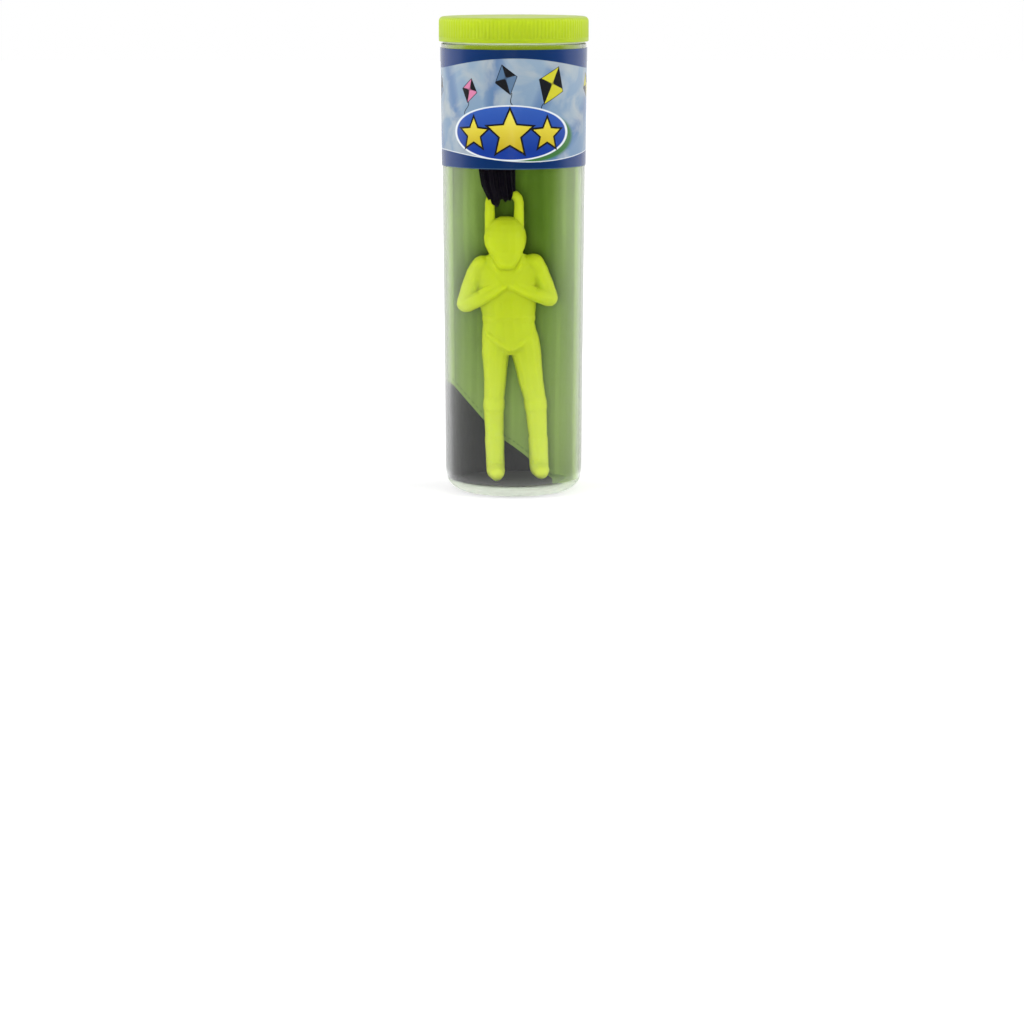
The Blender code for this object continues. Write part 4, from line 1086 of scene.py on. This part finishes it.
def fold_points():
    """One sheet laid to and fro across the roll: across grows evenly, and the way forward and back is
    a flattened sine held inside the roll."""
    along = np.linspace(0.0, 1.0, 900)
    across = FOLD_SPREAD * (2.0 * along - 1.0)
    room = np.sqrt(np.maximum((FOLD_SPREAD + 0.9 * MM) ** 2 - across**2, (2.5 * MM) ** 2))
    swing = np.tanh(3.2 * np.sin(pi * FOLD_RUNS * along + 0.4)) / np.tanh(3.2)
    swing = swing * (1.0 + 0.06 * np.sin(17.0 * along))
    lean = np.linspace(0.0, 1.0, 14)[:, None]
    edge = 0.5 * MM * np.sin(7.0 * pi * along) + 0.3 * MM * np.sin(31.0 * along)
    height = FOLD_LOW + (FOLD_HIGH + edge - FOLD_LOW) * lean
    x = across + 0.35 * MM * np.sin(40.0 * along + 3.0 * lean)
    y = room * 0.93 * swing * (0.96 + 0.04 * lean)
    return np.stack([x + 0.0 * lean, y + 0.0 * lean, height], axis=2)


fold_grid = fold_points()
inner_folds = surface("inner_folds", fold_grid, green_nylon, uv=cloth_uv(fold_grid, wrap=False), close=False)
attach(inner_folds, "toy_body")

# Net skirt: fine black knitted net, gathered tight where it loops over the bar above the figure's
# helmet. Its hem hangs below the bar in one deep lobe and a lesser one.
NET_LOW = 80.05 * MM
NET_HIGH = 111.4 * MM
NET_SIDE = -2.5 * MM
NET_HALF_WIDTH = 7.0 * MM
NET_HALF_DEPTH = 4.4 * MM
NET_LOBE_DROP = 2.1 * MM
NET_HEM = 0.12
NET_HOLLOW = shade_of(5, 4, 8)
NET_THREAD = shade_of(22, 16, 30)
# Height share, side and forward shift, and half sizes, as shares of the net's half sizes
NET_LEVELS = [
    (0.00, -0.16, 0.02, 0.44, 0.74), (0.04, -0.15, 0.02, 0.53, 0.90), (0.12, -0.24, 0.05, 0.60, 1.00),
    (0.28, -0.29, 0.14, 0.65, 1.00), (0.45, -0.34, 0.30, 0.84, 0.96), (0.63, -0.22, 0.50, 0.97, 0.86),
    (0.82, -0.06, 0.72, 1.00, 0.72), (0.94, 0.02, 0.90, 0.80, 0.56), (1.00, 0.04, 1.00, 0.45, 0.34),
]
# Rings that close the net under the bar, from the middle out: share of the hem's size, and lift
NET_UNDER = [(0.0, 1.6 * MM), (0.5, 1.2 * MM), (0.88, 0.25 * MM)]


def black_net():
    """Knitted net: small cells between threads, drawn from the cloth's own coordinates."""
    material, tree, shader = finish_of(
        "black_net", Roughness=0.85, Specular_IOR_Level=0.12, Sheen_Weight=0.04, Sheen_Roughness=0.4
    )
    uv = add(tree, "ShaderNodeUVMap", uv_map="UVMap").outputs[0]
    cells = {"Vector": uv, "Scale": 1.5, "Randomness": 0.15}
    cells = add(tree, "ShaderNodeTexVoronoi", cells, feature="DISTANCE_TO_EDGE")
    thread = ramp(tree, cells.outputs["Distance"], 0.06, 0.16, 1.0, 0.0)
    feed(
        shader,
        Base_Color=blend(tree, thread, NET_HOLLOW, NET_THREAD),
        Normal=bump(tree, thread, 0.6, 0.12 * MM),
    )
    return material


def net_points():
    """Pleated rings from the hem up: an oval whose radius swings with the angle, its pleats drifting,
    closed under the bar by rings that turn in and up."""
    turns = np.linspace(0.0, 2.0 * pi, 216, endpoint=False)
    share = np.concatenate([np.linspace(0.0, NET_HEM, 12)[:-1], np.linspace(NET_HEM, 1.0, 60)])[:, None]
    levels = np.array(NET_LEVELS)
    side, forward, wide, deep = [np.interp(share, levels[:, 0], column) for column in levels[:, 1:].T]
    pleat = 0.075 * np.cos(11.0 * turns + 1.5 * np.sin(5.0 * share))
    pleat = 1.0 + pleat + 0.035 * np.cos(19.0 * turns + 7.0 * share)
    across = np.cos(turns)
    lobes = 0.5 + 0.5 * np.cos(2.0 * pi * (across + 0.35) / 1.1)
    lobes = lobes * (1.0 - 1.15 * np.clip(across, 0.0, 0.87)) + 0.12 * np.cos(11.0 * turns)
    hang = NET_LOBE_DROP * lobes * (1.0 - np.minimum(1.0, share / NET_HEM))
    x = NET_SIDE + NET_HALF_WIDTH * (side + wide * pleat * across)
    y = -FIGURE_FORWARD + NET_HALF_DEPTH * (deep * pleat * np.sin(turns) - forward)
    z = NET_LOW + share * (NET_HIGH - NET_LOW) - hang
    rings = np.stack([x, y, z], axis=2)
    middle = rings[:1].mean(axis=1, keepdims=True)
    under = [
        middle + (rings[:1] - middle) * shrink + np.array([0.0, 0.0, lift])
        for shrink, lift in NET_UNDER
    ]
    over = rings[-1:].mean(axis=1, keepdims=True) + 0.0 * rings[-1:]
    return np.concatenate(under + [rings, over])


net_grid = net_points()
gathered_net = surface("gathered_net", net_grid, black_net(), wrap=True, uv=cloth_uv(net_grid))
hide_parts("net_skirt")
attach(gathered_net, "toy_body")

# Studio: a white floor and surround, a large soft lamp at each side and a small one in front, and a
# camera with a long lens about 0.9 m away, a little higher than the tube, that looks at its foot.
FLOOR_SIZE = 6.0
CAMERA_DISTANCE = 0.8878
CAMERA_RISE = radians(5.582)
CAMERA_PITCH = radians(10.109)
CAMERA_YAW = radians(0.03)
CAMERA_LENS = 114.37
CAMERA_AIM = Vector((0.0, 0.0, 0.0645))
WHITE = (1.0, 1.0, 1.0, 1.0)


def pale_floor():
    """White card that shows as white to the camera and keeps the object's shadow. What the tube mirrors of
    it, and what is seen through the tube, is a glow and not the lit card: painted reflection that fades from
    white near and behind the object to dark in front, as a studio does, and painted light up to 1.7 close
    round the foot."""
    material, tree, shader = finish_of(
        "pale_floor", Base_Color=(0.9, 0.9, 0.9, 1.0), Roughness=0.9, Specular_IOR_Level=0.1
    )
    path = add(tree, "ShaderNodeLightPath").outputs
    place = add(tree, "ShaderNodeTexCoord").outputs["Object"]
    away = add(tree, "ShaderNodeVectorMath", {0: place}, operation="LENGTH").outputs["Value"]
    white = ramp(tree, away, 0.06, 0.3, 0.5, 1.0, soft=True)
    glow = add(tree, "ShaderNodeEmission", {"Color": WHITE, "Strength": white}).outputs[0]
    seen = add(tree, "ShaderNodeAddShader", {0: shader.outputs[0], 1: glow}).outputs[0]
    card = either(tree, path["Is Camera Ray"], shader.outputs[0], seen)
    # Painted reflection and painted light: glow strength for rays that the tube mirrors or lets through.
    behind = ramp(tree, add(tree, "ShaderNodeSeparateXYZ", {0: place}).outputs[1], -0.45, 0.2, soft=True)
    near = ramp(tree, away, 0.018, 0.07, 1.7, 0.0, soft=True)
    bright = maths(tree, "MAXIMUM", behind, near)
    painted_reflection = add(tree, "ShaderNodeEmission", {"Color": WHITE, "Strength": bright}).outputs[0]
    bent = maths(tree, "MAXIMUM", path["Is Transmission Ray"], path["Is Glossy Ray"])
    feed(tree.nodes["Material Output"], Surface=either(tree, bent, card, painted_reflection))
    return material


half = 0.5 * FLOOR_SIZE
floor_grid = np.array([[[-half, -half, 0.0], [half, -half, 0.0]], [[-half, half, 0.0], [half, half, 0.0]]])
floor = surface("floor", floor_grid, pale_floor(), close=False)

world = bpy.data.worlds.new("studio")
bpy.context.scene.world = world
world.use_nodes = True
tree = world.node_tree
path = add(tree, "ShaderNodeLightPath").outputs
seen = maths(tree, "MAXIMUM", path["Is Camera Ray"], path["Is Transmission Ray"])
way = add(tree, "ShaderNodeSeparateXYZ", {0: add(tree, "ShaderNodeTexCoord").outputs["Generated"]}).outputs
behind = ramp(tree, maths(tree, "ADD", way[1], way[2]), -0.1, 0.6, 0.0, 0.68)
behind = maths(tree, "MULTIPLY_ADD", path["Is Glossy Ray"], behind, 0.32)
lit = add(tree, "ShaderNodeBackground", {"Color": WHITE, "Strength": behind}).outputs[0]
shown = add(tree, "ShaderNodeBackground", {"Color": WHITE, "Strength": 1.0}).outputs[0]
feed(tree.nodes["World Output"], Surface=either(tree, seen, lit, shown))

# Name, place, side length in metres and power in watts
LAMPS = [
    ("left_lamp", (-0.9, -0.02, 0.5), 1.0, 5.9),
    ("right_lamp", (0.9, -0.02, 0.5), 1.0, 5.9),
    ("front_lamp", (-0.05, -0.9, 0.11), 0.2, 3.6),
]
for name, place, size, power in LAMPS:
    lamp = bpy.data.lights.new(name, "AREA")
    lamp.size = size
    lamp.energy = power
    item = placed(name, lamp)
    item.location = place
    item.rotation_euler = (CAMERA_AIM - Vector(place)).to_track_quat("-Z", "Y").to_euler()
    item.visible_glossy = False
    item.visible_transmission = False

camera = bpy.data.cameras.new("camera")
camera.lens = CAMERA_LENS
camera.sensor_width = 36.0
camera.clip_start = 0.01
camera_item = placed("camera", camera)
camera_item.location = CAMERA_AIM + CAMERA_DISTANCE * Vector((0.0, -cos(CAMERA_RISE), sin(CAMERA_RISE)))
camera_item.rotation_euler = (0.5 * pi - CAMERA_PITCH, 0.0, CAMERA_YAW)
bpy.context.scene.camera = camera_item
bpy.context.scene.view_settings.view_transform = "Standard"
